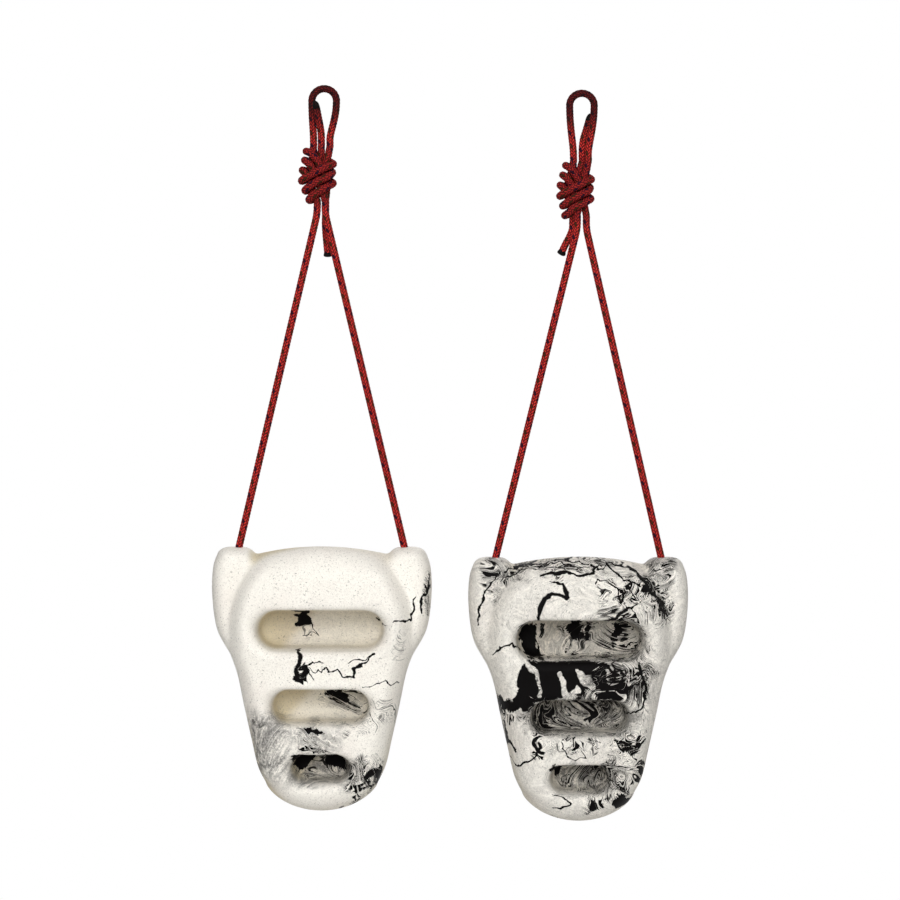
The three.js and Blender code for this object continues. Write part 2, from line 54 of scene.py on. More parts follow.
# How each ring hangs: its hook's drop, then the knot and the eye's centre from the hook, which strands of
# the knot run on into the outer leg and into the tail, and where, across and back in cord pitches from the
# knot's middle, each strand leaves the knot for the legs and for the eye. The castings' places come from
# the frame.
HANGS = {
    "left": {
        "outward": -1,
        "drop": 0.0,
        "knot_drop": 59.5 * MM,
        "knot_x": -3.7 * MM,
        "eye_x": 1.8 * MM,
        "leg_strand": "c",
        "tail_strand": "a",
        "leg_port_shares": {"a": (1.16, 0.64), "b": (1.16, -0.5), "c": (0.12, -0.5)},
        "eye_port_shares": {"a": (-0.42, 0.5), "b": (0.6, 0.5), "c": (1.72, 0.5)},
    },
    "right": {
        "outward": 1,
        "drop": 3.3 * MM,
        "knot_drop": 67.0 * MM,
        "knot_x": -2.7 * MM,
        "eye_x": 2.6 * MM,
        "leg_strand": "a",
        "tail_strand": "c",
        "leg_port_shares": {"a": (1.5, -0.5), "b": (0.3, -1), "c": (-0.25, -0.14)},
        "eye_port_shares": {"a": (-0.12, 0.5), "b": (1.05, 0.9), "c": (1.8, 0.2)},
    },
}
for side, hang in HANGS.items():
    casting_low, casting_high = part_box(f"{side}_ring_casting")
    hang["x"] = (casting_low[0] + casting_high[0]) / 2
    hang["ring_z"] = casting_high[2]

# Camera, at the photograph's framing
OBJECT_TOP_ROW = 92.2
IMAGE_SIDE = 900
MM_PER_PIXEL = 0.717
CAMERA_DISTANCE = 1.56
SENSOR_WIDTH = 36.0


def add_camera():
    data = bpy.data.cameras.new("camera")
    data.sensor_width = SENSOR_WIDTH
    data.lens = SENSOR_WIDTH * CAMERA_DISTANCE / (IMAGE_SIDE * MM_PER_PIXEL * MM)
    camera = bpy.data.objects.new("camera", data)
    camera.location = (0, -CAMERA_DISTANCE, (OBJECT_TOP_ROW - IMAGE_SIDE / 2) * MM_PER_PIXEL * MM)
    camera.rotation_euler = (math.pi / 2, 0, 0)
    bpy.context.collection.objects.link(camera)
    bpy.context.scene.camera = camera


add_camera()

# Routes of the cords, from the hook
CORD_DIAMETER = 5 * MM
CORD_RADIUS = CORD_DIAMETER / 2
STRAND_GAP = 0.5 * MM
SEAT_GAP = 0.3 * MM
PITCH = CORD_DIAMETER + STRAND_GAP
EYE_RADIUS = 8.8 * MM
CROWN_Z = CORD_RADIUS - EYE_RADIUS
TUNNEL_X = 61 * MM
TUNNEL_DROP = 87 * MM
TUNNEL_BEND = 27 * MM
TUNNEL_DIAMETER = 7 * MM
TUNNEL_GAP = 0.4 * MM
MOUTH_ROUND = 5 * MM
CORD_OFFSET = TUNNEL_DIAMETER / 2 - CORD_RADIUS - TUNNEL_GAP

# The middle strand's way through the overhand knot and the step to its neighbours, in cord pitches,
# from the legs up to the eye: x, y, z and the step in x, y, z
KNOT_SHARES = np.array([
    (0.05, -0.5, -1.2, 1.02, 0, 0.15),
    (-0.1, -0.5, 0.2, 0.95, 0, 0.4),
    (-0.5, -0.5, 1.3, 0.65, 0, 0.85),
    (-1.15, -0.4, 2.0, 0.35, 0, 1.2),
    (-1.65, 0.4, 2.2, 0.38, 0, 1.3),
    (-1.1, 1.4, 2.1, 0.38, 0, 1.3),
    (0.2, 1.6, 1.5, 0.15, 0, 1.25),
    (1.4, 1.35, 0.8, 0, 0, 1.22),
    (2.05, 0.45, 0.35, 0, 0, 1.25),
    (2.05, -0.5, 0.05, 0, 0, 1.28),
    (1.35, -1.4, -0.45, 0, 0, 1.3),
    (0.15, -1.6, -1.05, 0, 0, 1.3),
    (-1.05, -1.4, -1.75, -0.25, 0, 1.3),
    (-1.7, -0.5, -2.15, -0.38, 0, 1.3),
    (-1.2, 0.4, -2.35, -0.38, 0, 1.25),
    (-0.4, 0.52, -1.9, -0.6, 0, 0.95),
    (0.0, 0.5, -0.8, -0.95, 0, 0.4),
    (0.05, 0.5, 0.6, -1.0, 0, 0.1),
    (0.3, 0.5, 2.2, -1.0, 0, 0),
])
# Heights of a strand's first and last places, in line with where it leaves the knot
LEG_PORT_HEIGHT_SHARES = (-4.1, -3.4)
EYE_PORT_HEIGHT_SHARES = (3.8, 4.5)
STRAND_STEPS = {"a": 1, "b": 0, "c": -1}
# How the knot settles: the points along a strand, how many are held at each end, how many along one strand
# are too near to push each other, the rounds, the share of each push and of the ironing, and the distance
# in pitches within which points are watched
STRAND_POINTS = 120
HELD_POINTS = 5
OWN_REACH = 8
SETTLE_ROUNDS = 160
SETTLE_SHARE = 0.35
IRON_SHARE = 0.4
CLOSE_SHARE = 1.25

# Free ends of each cord, from where they leave the knot, in cord diameters
FREE_END_SHARES = {
    "left": {
        "short": [(-0.02, -0.05, 1), (-0.18, -0.6, 2.2), (-0.38, -1.2, 3.3), (-0.58, -1.5, 4.4)],
        "tail": [(-0.02, 0.03, -1), (-0.06, 0.26, -2.2), (0, 0.46, -3.6), (0.12, 0.52, -5),
                 (0.26, 0.5, -6.5)],
    },
    "right": {
        "short": [(0.01, 0.03, 1), (0.18, 0.3, 2.4), (0.6, 0.62, 3.8), (0.98, 0.74, 5.1)],
        "tail": [(-0.04, 0.04, -1), (-0.4, 0.22, -2), (-0.98, 0.3, -3.1), (-1.5, 0.3, -4.2)],
    },
}
# Sides of the eye: shares of the way down from the crown and of the way across to the knot
EYE_STRAND_SHARES = [(0, 0), (0.2, 0.07), (0.4, 0.26), (0.6, 0.54), (0.78, 0.82), (0.92, 0.98), (1, 1)]
UP = np.array((0.0, 0.0, 1.0))
FINE_STEPS = 16
KNOT_FINE_STEPS = 3


def cubic(start, rise, enter, leave, t):
    """The curve that rises from its start, with these slopes where it enters and leaves."""
    return start + t * (enter + t * (3 * rise - 2 * enter - leave + t * (enter + leave - 2 * rise)))


def catmull_rom(points, fine=FINE_STEPS):
    """A centripetal Catmull-Rom curve through the points, as a fine line of points."""
    points = np.asarray(points, float)
    first, last = 2 * points[0] - points[1], 2 * points[-1] - points[-2]
    p = np.vstack([first, points, last])
    steps = np.sqrt(np.linalg.norm(np.diff(p, axis=0), axis=1))[:, None]
    t = np.linspace(0, 1, fine, endpoint=False)[:, None]
    line = []
    for i in range(1, len(p) - 2):
        before, here, after = steps[i - 1], steps[i], steps[i + 1]
        rise = p[i + 1] - p[i]
        enter = ((p[i] - p[i - 1]) / before - (p[i + 1] - p[i - 1]) / (before + here)) * here + rise
        leave = ((p[i + 2] - p[i + 1]) / after - (p[i + 2] - p[i]) / (here + after)) * here + rise
        line.append(cubic(p[i], rise, enter, leave, t))
    return np.vstack([*line, points[-1:]])


def lengths_along(line):
    return np.concatenate([[0], np.cumsum(np.linalg.norm(np.diff(line, axis=0), axis=1))])


def resampled(line, at):
    along = lengths_along(line)
    return np.stack([np.interp(at, along, line[:, axis]) for axis in range(3)], axis=1)


def spaced(line, count):
    return resampled(line, np.linspace(0, lengths_along(line)[-1], count + 1))


def strand_way(hang, strand):
    below = [(*hang["leg_port_shares"][strand], z) for z in LEG_PORT_HEIGHT_SHARES]
    above = [(*hang["eye_port_shares"][strand], z) for z in EYE_PORT_HEIGHT_SHARES]
    return np.vstack([below, KNOT_SHARES[:, :3] + STRAND_STEPS[strand] * KNOT_SHARES[:, 3:], above]) * PITCH


def settled_knot(hang):
    """Strands that lie closer than their pitch push each other apart until the knot sits."""
    size = STRAND_POINTS + 1
    strands = [spaced(catmull_rom(strand_way(hang, name)), STRAND_POINTS) for name in STRAND_STEPS]
    points = np.vstack(strands)
    index = np.arange(len(points))
    place = index % size
    held = (place < HELD_POINTS) | (place > STRAND_POINTS - HELD_POINTS)
    same = index[:, None] // size == index[None] // size
    own = same & (index[None] - index[:, None] < OWN_REACH)
    rivals = np.triu(~own, 1)
    for settle_round in range(SETTLE_ROUNDS):
        apart = np.linalg.norm(points[:, None] - points[None], axis=2)
        close = np.argwhere(rivals & (apart < PITCH * CLOSE_SHARE))
        moving = points.tolist()
        for i, j in close.tolist():
            a, b = moving[i], moving[j]
            dx, dy, dz = b[0] - a[0], b[1] - a[1], b[2] - a[2]
            distance = math.sqrt(dx * dx + dy * dy + dz * dz)
            if distance >= PITCH:
                continue
            share = (PITCH - distance) / distance * SETTLE_SHARE
            if not held[i]:
                moving[i] = [a[0] - dx * share, a[1] - dy * share, a[2] - dz * share]
            if not held[j]:
                moving[j] = [b[0] + dx * share, b[1] + dy * share, b[2] + dz * share]
        points = np.array(moving)
        share = IRON_SHARE * (1 - (settle_round + 1) / SETTLE_ROUNDS)
        middle = (np.roll(points, 1, axis=0) + np.roll(points, -1, axis=0)) / 2
        points = np.where(held[:, None], points, points + (middle - points) * share)
    return {name: points[i * size:(i + 1) * size] for i, name in enumerate(STRAND_STEPS)}


def knot_middle(hang):
    return np.array((hang["knot_x"], 0, -hang["knot_drop"]))


def leg_port(hang, strand):
    """Where a strand leaves the knot for the legs."""
    return strand_way(hang, strand)[0] + knot_middle(hang)


def eye_port(hang, strand):
    return strand_way(hang, strand)[-1] + knot_middle(hang)


def bezier(start, knee, end):
    t = np.linspace(0, 1, FINE_STEPS + 1)[:, None]
    return (1 - t) ** 2 * start + 2 * t * (1 - t) * knee + t ** 2 * end


def arc(centre_x, centre_z, radius, start, end):
    angle = np.linspace(start, end, 3 * FINE_STEPS + 1)
    flat = np.zeros_like(angle)
    return np.stack([centre_x + radius * np.cos(angle), flat, centre_z + radius * np.sin(angle)], axis=1)


def eye_strand(hang, sign, strand):
    start = np.array((hang["eye_x"] + sign * EYE_RADIUS, 0, CROWN_Z - SEAT_GAP))
    end = eye_port(hang, strand) + SEAT_GAP * UP
    points = [start + (end - start) * (across, across, down) for down, across in EYE_STRAND_SHARES]
    return catmull_rom(points)


def leg(hang, sign, strand):
    """A leg runs straight between two short bends, one below the knot and one in the mouth of the tunnel."""
    start = leg_port(hang, strand) - SEAT_GAP * UP
    end = np.array((sign * (TUNNEL_X - CORD_OFFSET), 0, hang["leg_end"]))
    upper_knee = start - CORD_DIAMETER * UP
    lower_knee = end + CORD_DIAMETER * UP
    along = lower_knee - upper_knee
    along *= CORD_DIAMETER / np.linalg.norm(along)
    upper = bezier(start, upper_knee, upper_knee + along)
    lower = bezier(lower_knee - along, lower_knee, end)
    return np.vstack([upper, lower])


def free_end(port, shares):
    start = port + math.copysign(SEAT_GAP, shares[0][2]) * UP
    return catmull_rom(np.vstack([start, start + CORD_DIAMETER * np.array(shares)]))


def tunnel_bends(radius, top_z):
    """The two bends of the way through a casting, from left to right, below the top of its jug."""
    x, z = TUNNEL_X - TUNNEL_BEND, top_z + (TUNNEL_BEND - TUNNEL_DROP)
    return [arc(-x, z, radius, math.pi, 1.5 * math.pi), arc(x, z, radius, -math.pi / 2, 0)]


def in_tunnel(hang, sign):
    """The way through the casting, from the side given by the sign to the other."""
    start = np.array([(CORD_OFFSET - TUNNEL_X, 0, hang["leg_end"] - SEAT_GAP)])
    bends = tunnel_bends(TUNNEL_BEND - CORD_OFFSET, hang["ring_z"] + hang["drop"])
    line = np.vstack([start, *bends, start * (-1, 1, 1)])
    return line if sign < 0 else line[::-1]


def cord_route(side, hang):
    """The whole cord from its tail to its short end: each stretch's node and its line."""
    outward, tail_strand, leg_strand = hang["outward"], hang["tail_strand"], hang["leg_strand"]
    knot = settled_knot(hang)
    middle = knot_middle(hang)
    in_knot = {name: catmull_rom(points, KNOT_FINE_STEPS) + middle for name, points in knot.items()}
    eye = {"a": ("eye_strand_a", eye_strand(hang, -1, "a")), "c": ("eye_strand_b", eye_strand(hang, 1, "c"))}
    crown = arc(hang["eye_x"], CROWN_Z, EYE_RADIUS, math.pi, 0)
    shares = FREE_END_SHARES[side]
    return [
        ("tail_end", free_end(leg_port(hang, tail_strand), shares["tail"])[::-1]),
        (f"knot_strand_{tail_strand}", in_knot[tail_strand]),
        (eye[tail_strand][0], eye[tail_strand][1][::-1]),
        ("eye_crown", crown if tail_strand == "a" else crown[::-1]),
        eye[leg_strand],
        (f"knot_strand_{leg_strand}", in_knot[leg_strand][::-1]),
        ("outer_cord_leg", leg(hang, outward, leg_strand)),
        ("cord_in_tunnel", in_tunnel(hang, outward)),
        ("inner_cord_leg", leg(hang, -outward, "b")[::-1]),
        ("knot_strand_b", in_knot["b"]),
        ("short_end", free_end(eye_port(hang, "b"), shares["short"])),
    ]


# Braided cord meshes
CARRIERS = 8
CELL_SIDES = 6
CORD_SIDES = CARRIERS * CELL_SIDES
BRAID_PITCH = 2.39 * MM
RING_STEP = BRAID_PITCH / CELL_SIDES
STITCH_RISE = 0.18 * MM
STITCH_SINK = 0.24 * MM
# Where a column with flecks lies round the braid, and how far it faces to the left of straight ahead
COLUMN_TURN = 2 * math.pi * 0.75 / CARRIERS
COLUMN_SPACING = 4 * math.pi / CARRIERS
FLECK_SIDE = math.radians(33)
FACING = ("tail_end", "eye_strand_a", "eye_strand_b", "outer_cord_leg", "inner_cord_leg", "short_end")
HIDDEN_SIDES = 16
HIDDEN_STEP = 4


def new_object(name, points, faces, smooth=True):
    mesh = bpy.data.meshes.new(name)
    mesh.from_pydata(points.tolist(), [], faces)
    mesh.validate()
    if smooth:
        mesh.shade_smooth()
    obj = bpy.data.objects.new(name, mesh)
    bpy.context.collection.objects.link(obj)
    return obj


def swept_frames(line):
    """Directions across a line at each point, carried along it without twist."""
    along = np.gradient(line, axis=0)
    along /= np.linalg.norm(along, axis=1)[:, None]
    across = np.cross(along[0], (0.0, 1.0, 0.0))
    first = []
    for direction in along:
        across = across - direction * (across @ direction)
        across = across / np.linalg.norm(across)
        first.append(across)
    first = np.array(first)
    return first, np.cross(along, first)


def stitch_height(turns, pitches):
    """Height of a braid whose strands pass over two and under two, from 0 in a groove to 1 on a stitch."""
    a, b = CARRIERS * turns + pitches, CARRIERS * turns - pitches
    i, j = np.floor(a), np.floor(b)
    right = np.mod(i + j, 4) < 2
    across = np.where(right, a - i, b - j) * 2 - 1
    along = np.where(right, np.mod(b + i, 4), np.mod(a + j, 4) - 2) - 1
    return np.sqrt(np.clip((1 - across ** 2) * (1 - along ** 4), 0, 1))


def circle(sides):
    angle = 2 * math.pi * np.arange(sides) / sides
    return np.stack([np.cos(angle), np.sin(angle)], axis=1)


def directions_round(first, second, sides):
    """Directions straight out of a line, all round it at each of its points."""
    x, y = circle(sides).T[:, :, None]
    return x * first[:, None] + y * second[:, None]


def tube_faces(rings, sides):
    r, s = np.meshgrid(np.arange(rings - 1), np.arange(sides), indexing="ij")
    corner = r * sides + s
    beside = r * sides + (s + 1) % sides
    return np.stack([corner, beside, beside + sides, corner + sides], axis=2).reshape(-1, 4)


def capped_faces(rings, sides):
    """The faces of a tube, then one over each end."""
    end = (rings - 1) * sides
    return [*tube_faces(rings, sides).tolist(), list(range(sides))[::-1], list(range(end, end + sides))]


def facing_twist(line, first, second, spans):
    """How far the braid is turned about the cord at each point, so that its flecks face the same way."""
    wanted = np.array((-math.sin(FLECK_SIDE), -math.cos(FLECK_SIDE), 0.0))
    angle = np.unwrap(np.arctan2(second @ wanted, first @ wanted), period=2 * math.pi)
    free = COLUMN_TURN - angle
    places, twists = [], []
    for start, end in spans:
        twist = free[start:end]
        if twists:
            twist = twist + COLUMN_SPACING * round((twists[-1] - twist[0]) / COLUMN_SPACING)
        places += range(start, end)
        twists += twist.tolist()
    return np.interp(np.arange(len(line)), places, twists) / (2 * math.pi)


def cord_piece(name, line, first, second, twist, start_pitch, sides):
    """A braided tube along a line, with a map of turns round it and braid pitches along it."""
    rings = len(line)
    pitches = start_pitch + lengths_along(line) / BRAID_PITCH
    turns = np.arange(sides) / sides
    height = stitch_height(turns[None] + twist[:, None], pitches[:, None])
    radius = CORD_RADIUS - STITCH_SINK + (STITCH_SINK + STITCH_RISE) * height
    points = line[:, None] + radius[:, :, None] * directions_round(first, second, sides)
    obj = new_object(name, points.reshape(-1, 3), capped_faces(rings, sides))
    uv = obj.data.uv_layers.new(name="cord_uv")
    r, s = np.meshgrid(np.arange(rings - 1), np.arange(sides), indexing="ij")
    ring = np.stack([r, r, r + 1, r + 1], axis=2)
    u = np.stack([s, s + 1, s + 1, s], axis=2) / sides + twist[ring]
    body = np.stack([u, pitches[ring]], axis=3).reshape(-1, 2)
    caps = np.concatenate([
        np.stack([turns[::-1], np.full(sides, pitches[0])], axis=1),
        np.stack([turns, np.full(sides, pitches[-1])], axis=1),
    ])
    uv.data.foreach_set("uv", np.concatenate([body, caps]).astype(np.float32).ravel())
    return obj


def whole_cord(side, hang):
    """Makes every stretch of one cord, its braid running on from each to the next."""
    stretches = cord_route(side, hang)
    hook = np.array((hang["x"], 0, -hang["drop"]))
    route = np.vstack([line for _, line in stretches]) + hook
    along = lengths_along(route)
    ends = np.cumsum([len(line) for _, line in stretches])
    total = along[-1]
    count = round(total / RING_STEP)
    line = spaced(route, count)
    first, second = swept_frames(line)
    cuts = [0] + [round(along[min(end, len(along) - 1)] / total * count) for end in ends]
    parts = [(name, start, end) for (name, _), start, end in zip(stretches, cuts, cuts[1:])]
    spans = [(start, end) for name, start, end in parts if name in FACING]
    twist = facing_twist(line, first, second, spans)
    pieces, lines = {}, {}
    for name, start, end in parts:
        hidden = name == "cord_in_tunnel"
        step = HIDDEN_STEP if hidden else 1
        part = np.unique(np.append(np.arange(start, end + 1, step), end))
        sides = HIDDEN_SIDES if hidden else CORD_SIDES
        start_pitch = start * total / count / BRAID_PITCH
        places = line[part], first[part], second[part], twist[part]
        obj = cord_piece(f"{side}_{name}_braid", *places, start_pitch, sides)
        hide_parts(f"{side}_{name}")
        pieces[name], lines[name] = obj, line[part]
    print(f"{side} cord: {total:.3f} m in all, {len(stretches)} stretches")
    return pieces, lines


# Melted cord ends
TIP_SIDES = 24
# A tip points the way that the cord runs between its last place and this one, counted from the end
TIP_LEAD = 4
# For the pinched short end and the swollen tail: how flat it is, how far its rings lean, and each ring's
# share of the length and of the radius
TIP_SHARES = {
    "short": {
        "length": 5.8 * MM,
        "radius": 2.55 * MM,
        "flat": 0.84,
        "lean": 0.5,
        "profile": [(-0.05, 0.6), (-0.03, 0.92), (0.05, 1.0), (0.2, 1.02), (0.4, 0.98), (0.6, 0.88),
                    (0.78, 0.74), (0.9, 0.56), (0.98, 0.3), (1.0, 0.1)],
    },
    "tail": {
        "length": 2.8 * MM,
        "radius": 3.2 * MM,
        "flat": 0.96,
        "lean": 0.08,
        "profile": [(-0.2, 0.6), (-0.14, 0.8), (0.0, 0.88), (0.2, 0.96), (0.4, 1.02), (0.62, 1.0),
                    (0.82, 0.88), (0.94, 0.64), (1.0, 0.36), (1.02, 0.1)],
    },
}
LUMP_HEIGHT = 0.16 * MM
# Lumps round a tip: how many, how they turn along it, where they start and their share of the height
LUMPS = [(3, 5, 0, 1.0), (5, -9, 1, 0.7)]


def melted_tip(name, line, kind):
    """The lump of melted sheath at a cord's end, with drips frozen round it."""
    shape = TIP_SHARES[kind]
    along = line[-1] - line[-TIP_LEAD]
    along /= np.linalg.norm(along)
    across = np.cross(along, (0.0, 1.0, 0.0))
    across /= np.linalg.norm(across)
    forward = np.cross(along, across)
    angle = 2 * math.pi * np.arange(TIP_SIDES) / TIP_SIDES
    rings = []
    for share, width in shape["profile"]:
        lumps = sum(size * np.sin(count * angle + turn * share + start) for count, turn, start, size in LUMPS)
        radius = width * (shape["radius"] + LUMP_HEIGHT * lumps)
        x = radius * np.cos(angle)
        y = shape["flat"] * radius * np.sin(angle)
        rise = share * shape["length"] + shape["lean"] * max(share, 0) ** 2 * x
        rings.append(line[-1] + x[:, None] * across + y[:, None] * forward + rise[:, None] * along)
    obj = new_object(name, np.vstack(rings), capped_faces(len(rings), TIP_SIDES))
    subdivision = obj.modifiers.new("rounding", "SUBSURF")
    subdivision.levels = subdivision.render_levels = 1
    apply_modifiers(obj)
    return obj


def apply_modifiers(obj):
    bpy.context.view_layer.update()
    evaluated = obj.evaluated_get(bpy.context.evaluated_depsgraph_get())
    mesh = bpy.data.meshes.new_from_object(evaluated)
    obj.modifiers.clear()
    obj.data = mesh


# Castings, measured from the middle of the jug's top
RING_WIDTH = 158 * MM
RING_HEIGHT = 190 * MM
FRONT_DEPTH = 34.2 * MM
BACK_DEPTH = 22.8 * MM
HALF_WIDTH = RING_WIDTH / 2
NOTCH_X = 47 * MM
DOME_SAG = 6.5 * MM
EAR_MID_X = 62 * MM
EAR_HALF = 13.5 * MM
EAR_DROP = 1 * MM
EAR_ROUND = 5 * MM
NOTCH_SOFTNESS = 2 * MM
FOOT_HALF = 46 * MM
FOOT_HEIGHT = 36 * MM
SIDE_SHARES = [
    (0.028, 0.949), (0.074, 0.986), (0.158, 1.0), (0.263, 0.98), (0.326, 0.945), (0.368, 0.893),
    (0.416, 0.825), (0.484, 0.767), (0.595, 0.711), (0.732, 0.637), (0.832, 0.58), (0.9, 0.504),
]
CROWN = 5 * MM
BODY_ROLL_SHARES = [
    (0, 0.98), (0.18, 1.0), (0.33, 0.973), (0.46, 0.892), (0.6, 0.874), (0.73, 0.82), (0.84, 0.748),
    (1.0, 0.64),
]
VALLEY_SHARES = [
    (0, 0.585), (0.045, 0.605), (0.11, 0.7), (0.18, 0.79), (0.27, 0.84), (0.38, 0.85), (0.5, 1.0),
]
VALLEY_SOFTNESS = 9 * MM
COLUMN_DEPTH = 15.2 * MM
COLUMN_ROUND = 11 * MM
BODY_ROUND = 15 * MM
FOOT_ROUND = 17 * MM
JUG_ROUND = 22 * MM
EAR_TOP_ROUND = 7 * MM
EDGE_Y = 2.8 * MM
CREST_Y = -11.2 * MM
CREST_FADE = 24 * MM
BACK_ROUND = 8 * MM
TROUGH_DEPTH = 8 * MM
TROUGH_HALF = 42 * MM
TROUGH_MID_Y = 5.8 * MM
TROUGH_REACH_Y = 16 * MM
POCKETS = [
    {"drop": 59 * MM, "width": 91 * MM, "height": 29.5 * MM, "depth": 38 * MM},
    {"drop": 113.5 * MM, "width": 70 * MM, "height": 26 * MM, "depth": 35 * MM},
    {"drop": 157.5 * MM, "width": 42.5 * MM, "height": 21.3 * MM, "depth": 30 * MM},
]
LIP_TOP = 3.5 * MM
LIP_BOTTOM = 7 * MM
LIP_SIDE = 10 * MM
POCKET_DRAFT = 2 * MM
POCKET_ROUND = 7 * MM
POCKET_HOLLOW = 1.5 * MM
LIP_ANGLES = np.radians(np.linspace(66, 0, 12))
CORNER_ANGLES = np.radians(np.linspace(0, 90, 8))
POCKET_END_STEPS = 28
POCKET_EDGE_STEPS = 30
OVERRUN = 12 * MM
MOUTH_EASE = 0.2 * MM
BORE_SIDES = 32
GRID_FINENESS = 7
CASTING_VOXEL = 1.1 * MM
SMOOTH_ROUNDS = 6
SMOOTH_SHARE = 0.5


def table_value(rows, at):
    """A smooth curve through the rows' values, level beyond the first and last."""
    x, y = np.array(rows, float).T
    last = len(x) - 1
    at = np.clip(at, x[0], x[-1])
    i = np.clip(np.searchsorted(x, at, side="right") - 1, 0, last - 1)
    before, after = np.maximum(i - 1, 0), np.minimum(i + 2, last)
    span, rise = x[i + 1] - x[i], y[i + 1] - y[i]
    enter = (y[i + 1] - y[before]) / (x[i + 1] - x[before]) * span
    leave = (y[after] - y[i]) / (x[after] - x[i]) * span
    return cubic(y[i], rise, enter, leave, (at - x[i]) / span)


def soft_max(a, b, softness):
    return (a + b + np.hypot(a - b, softness)) / 2


def fillet_max(a, b, reach):
    """The larger of two depths, with a fillet where they come within reach of each other."""
    close = np.maximum(reach - np.abs(a - b), 0)
    return np.maximum(a, b) + close ** 2 / (4 * reach)


def roll(distance, radius):
    """A quarter round: 0 at the edge, 1 from one radius in."""
    share = np.clip(distance / radius, 0, 1)
    return np.sqrt(1 - (1 - share) ** 2)


def fade(distance, reach):
    return (1 - np.minimum(np.abs(distance / reach), 1) ** 2) ** 2


def side_half(drop):
    return HALF_WIDTH * table_value(SIDE_SHARES, drop / RING_HEIGHT)


def valley_x(drop):
    return HALF_WIDTH * table_value(VALLEY_SHARES, drop / RING_HEIGHT)


def top_drop(x):
    dome = DOME_SAG * (x / NOTCH_X) ** 2
    ear = EAR_DROP + EAR_ROUND * ((np.abs(x) - EAR_MID_X) / EAR_HALF) ** 4
    return np.maximum(-soft_max(-dome, -ear, NOTCH_SOFTNESS), 0)


def foot_drop(x):
    share = np.minimum(np.abs(x) / FOOT_HALF, 1)
    return RING_HEIGHT - FOOT_HEIGHT * (1 - np.sqrt(1 - share ** 2))


SHOULDER_HALF = side_half(0)
HEEL_HALF = side_half(RING_HEIGHT)
SHOULDER_DROP = top_drop(SHOULDER_HALF)
HEEL_DROP = foot_drop(HEEL_HALF)
SIDE_LENGTH = HEEL_DROP - SHOULDER_DROP


def above_foot(x, drop):
    return foot_drop(x / side_half(drop) * HEEL_HALF) - drop


def edge_depth(x, below):
    return EDGE_Y + (CREST_Y - EDGE_Y) * fade(below, CREST_FADE) * fade(x, NOTCH_X)


def front_y(x, drop):
    """Front of the casting at a place on its outline: y is negative towards the front."""
    across, side, below = np.abs(x), side_half(drop), drop - top_drop(x)
    edge = edge_depth(x, below)
    body_edge = -fillet_max(-valley_x(drop), -side, VALLEY_SOFTNESS)
    full = FRONT_DEPTH * table_value(BODY_ROLL_SHARES, drop / RING_HEIGHT)
    body = (full - CROWN * (across / body_edge) ** 2 + edge) * roll(body_edge - across, BODY_ROUND)
    column = (COLUMN_DEPTH + edge) * roll(side - across, COLUMN_ROUND)
    relief = fillet_max(body, column, VALLEY_SOFTNESS)
    jug_share = fade(np.maximum(across - NOTCH_X / 2, 0), NOTCH_X)
    top_round = EAR_TOP_ROUND + (JUG_ROUND - EAR_TOP_ROUND) * jug_share
    ends = roll(below, top_round) * roll(above_foot(x, drop), FOOT_ROUND)
    return edge - relief * roll(side - across, NOTCH_SOFTNESS) * ends


def back_y(x, drop):
    below = drop - top_drop(x)
    edge = edge_depth(x, below)
    sides = roll(side_half(drop) - np.abs(x), BACK_ROUND)
    ends = roll(below, BACK_ROUND) * roll(above_foot(x, drop), BACK_ROUND)
    return edge + (BACK_DEPTH - edge) * sides * ends


TOP_LEVEL_SHARES = np.array([0, 0.02, 0.07, 0.16, 0.32, 0.6, 1])
HEEL_LEVEL_SHARES = np.array([0.7, 0.36, 0.13, 0.03, 0])
MIDDLE_LEVELS = 9
INNER_SHARES = np.array([0, 0.2, 0.4, 0.58, 0.74, 0.87, 0.95, 1])
OUTER_SHARES = np.array([0.3, 0.58, 0.8, 0.94, 1])
EDGE_ZONE = 9 * MM


def finer(shares, times=GRID_FINENESS):
    shares = np.asarray(shares, float)
    return np.interp(np.arange((len(shares) - 1) * times + 1) / times, np.arange(len(shares)), shares)


def level_shares():
    top = TOP_LEVEL_SHARES * JUG_ROUND / SIDE_LENGTH
    heel = 1 - HEEL_LEVEL_SHARES * FOOT_ROUND / SIDE_LENGTH
    return finer(np.concatenate([top, np.linspace(top[-1], heel[0], MIDDLE_LEVELS + 2)[1:-1], heel]))


def across_shares(drop):
    inner = min(valley_x(drop), side_half(drop) - EDGE_ZONE) / side_half(drop)
    half = finer(np.concatenate([INNER_SHARES * inner, inner + OUTER_SHARES * (1 - inner)]))
    return np.concatenate([-half[:0:-1], half])


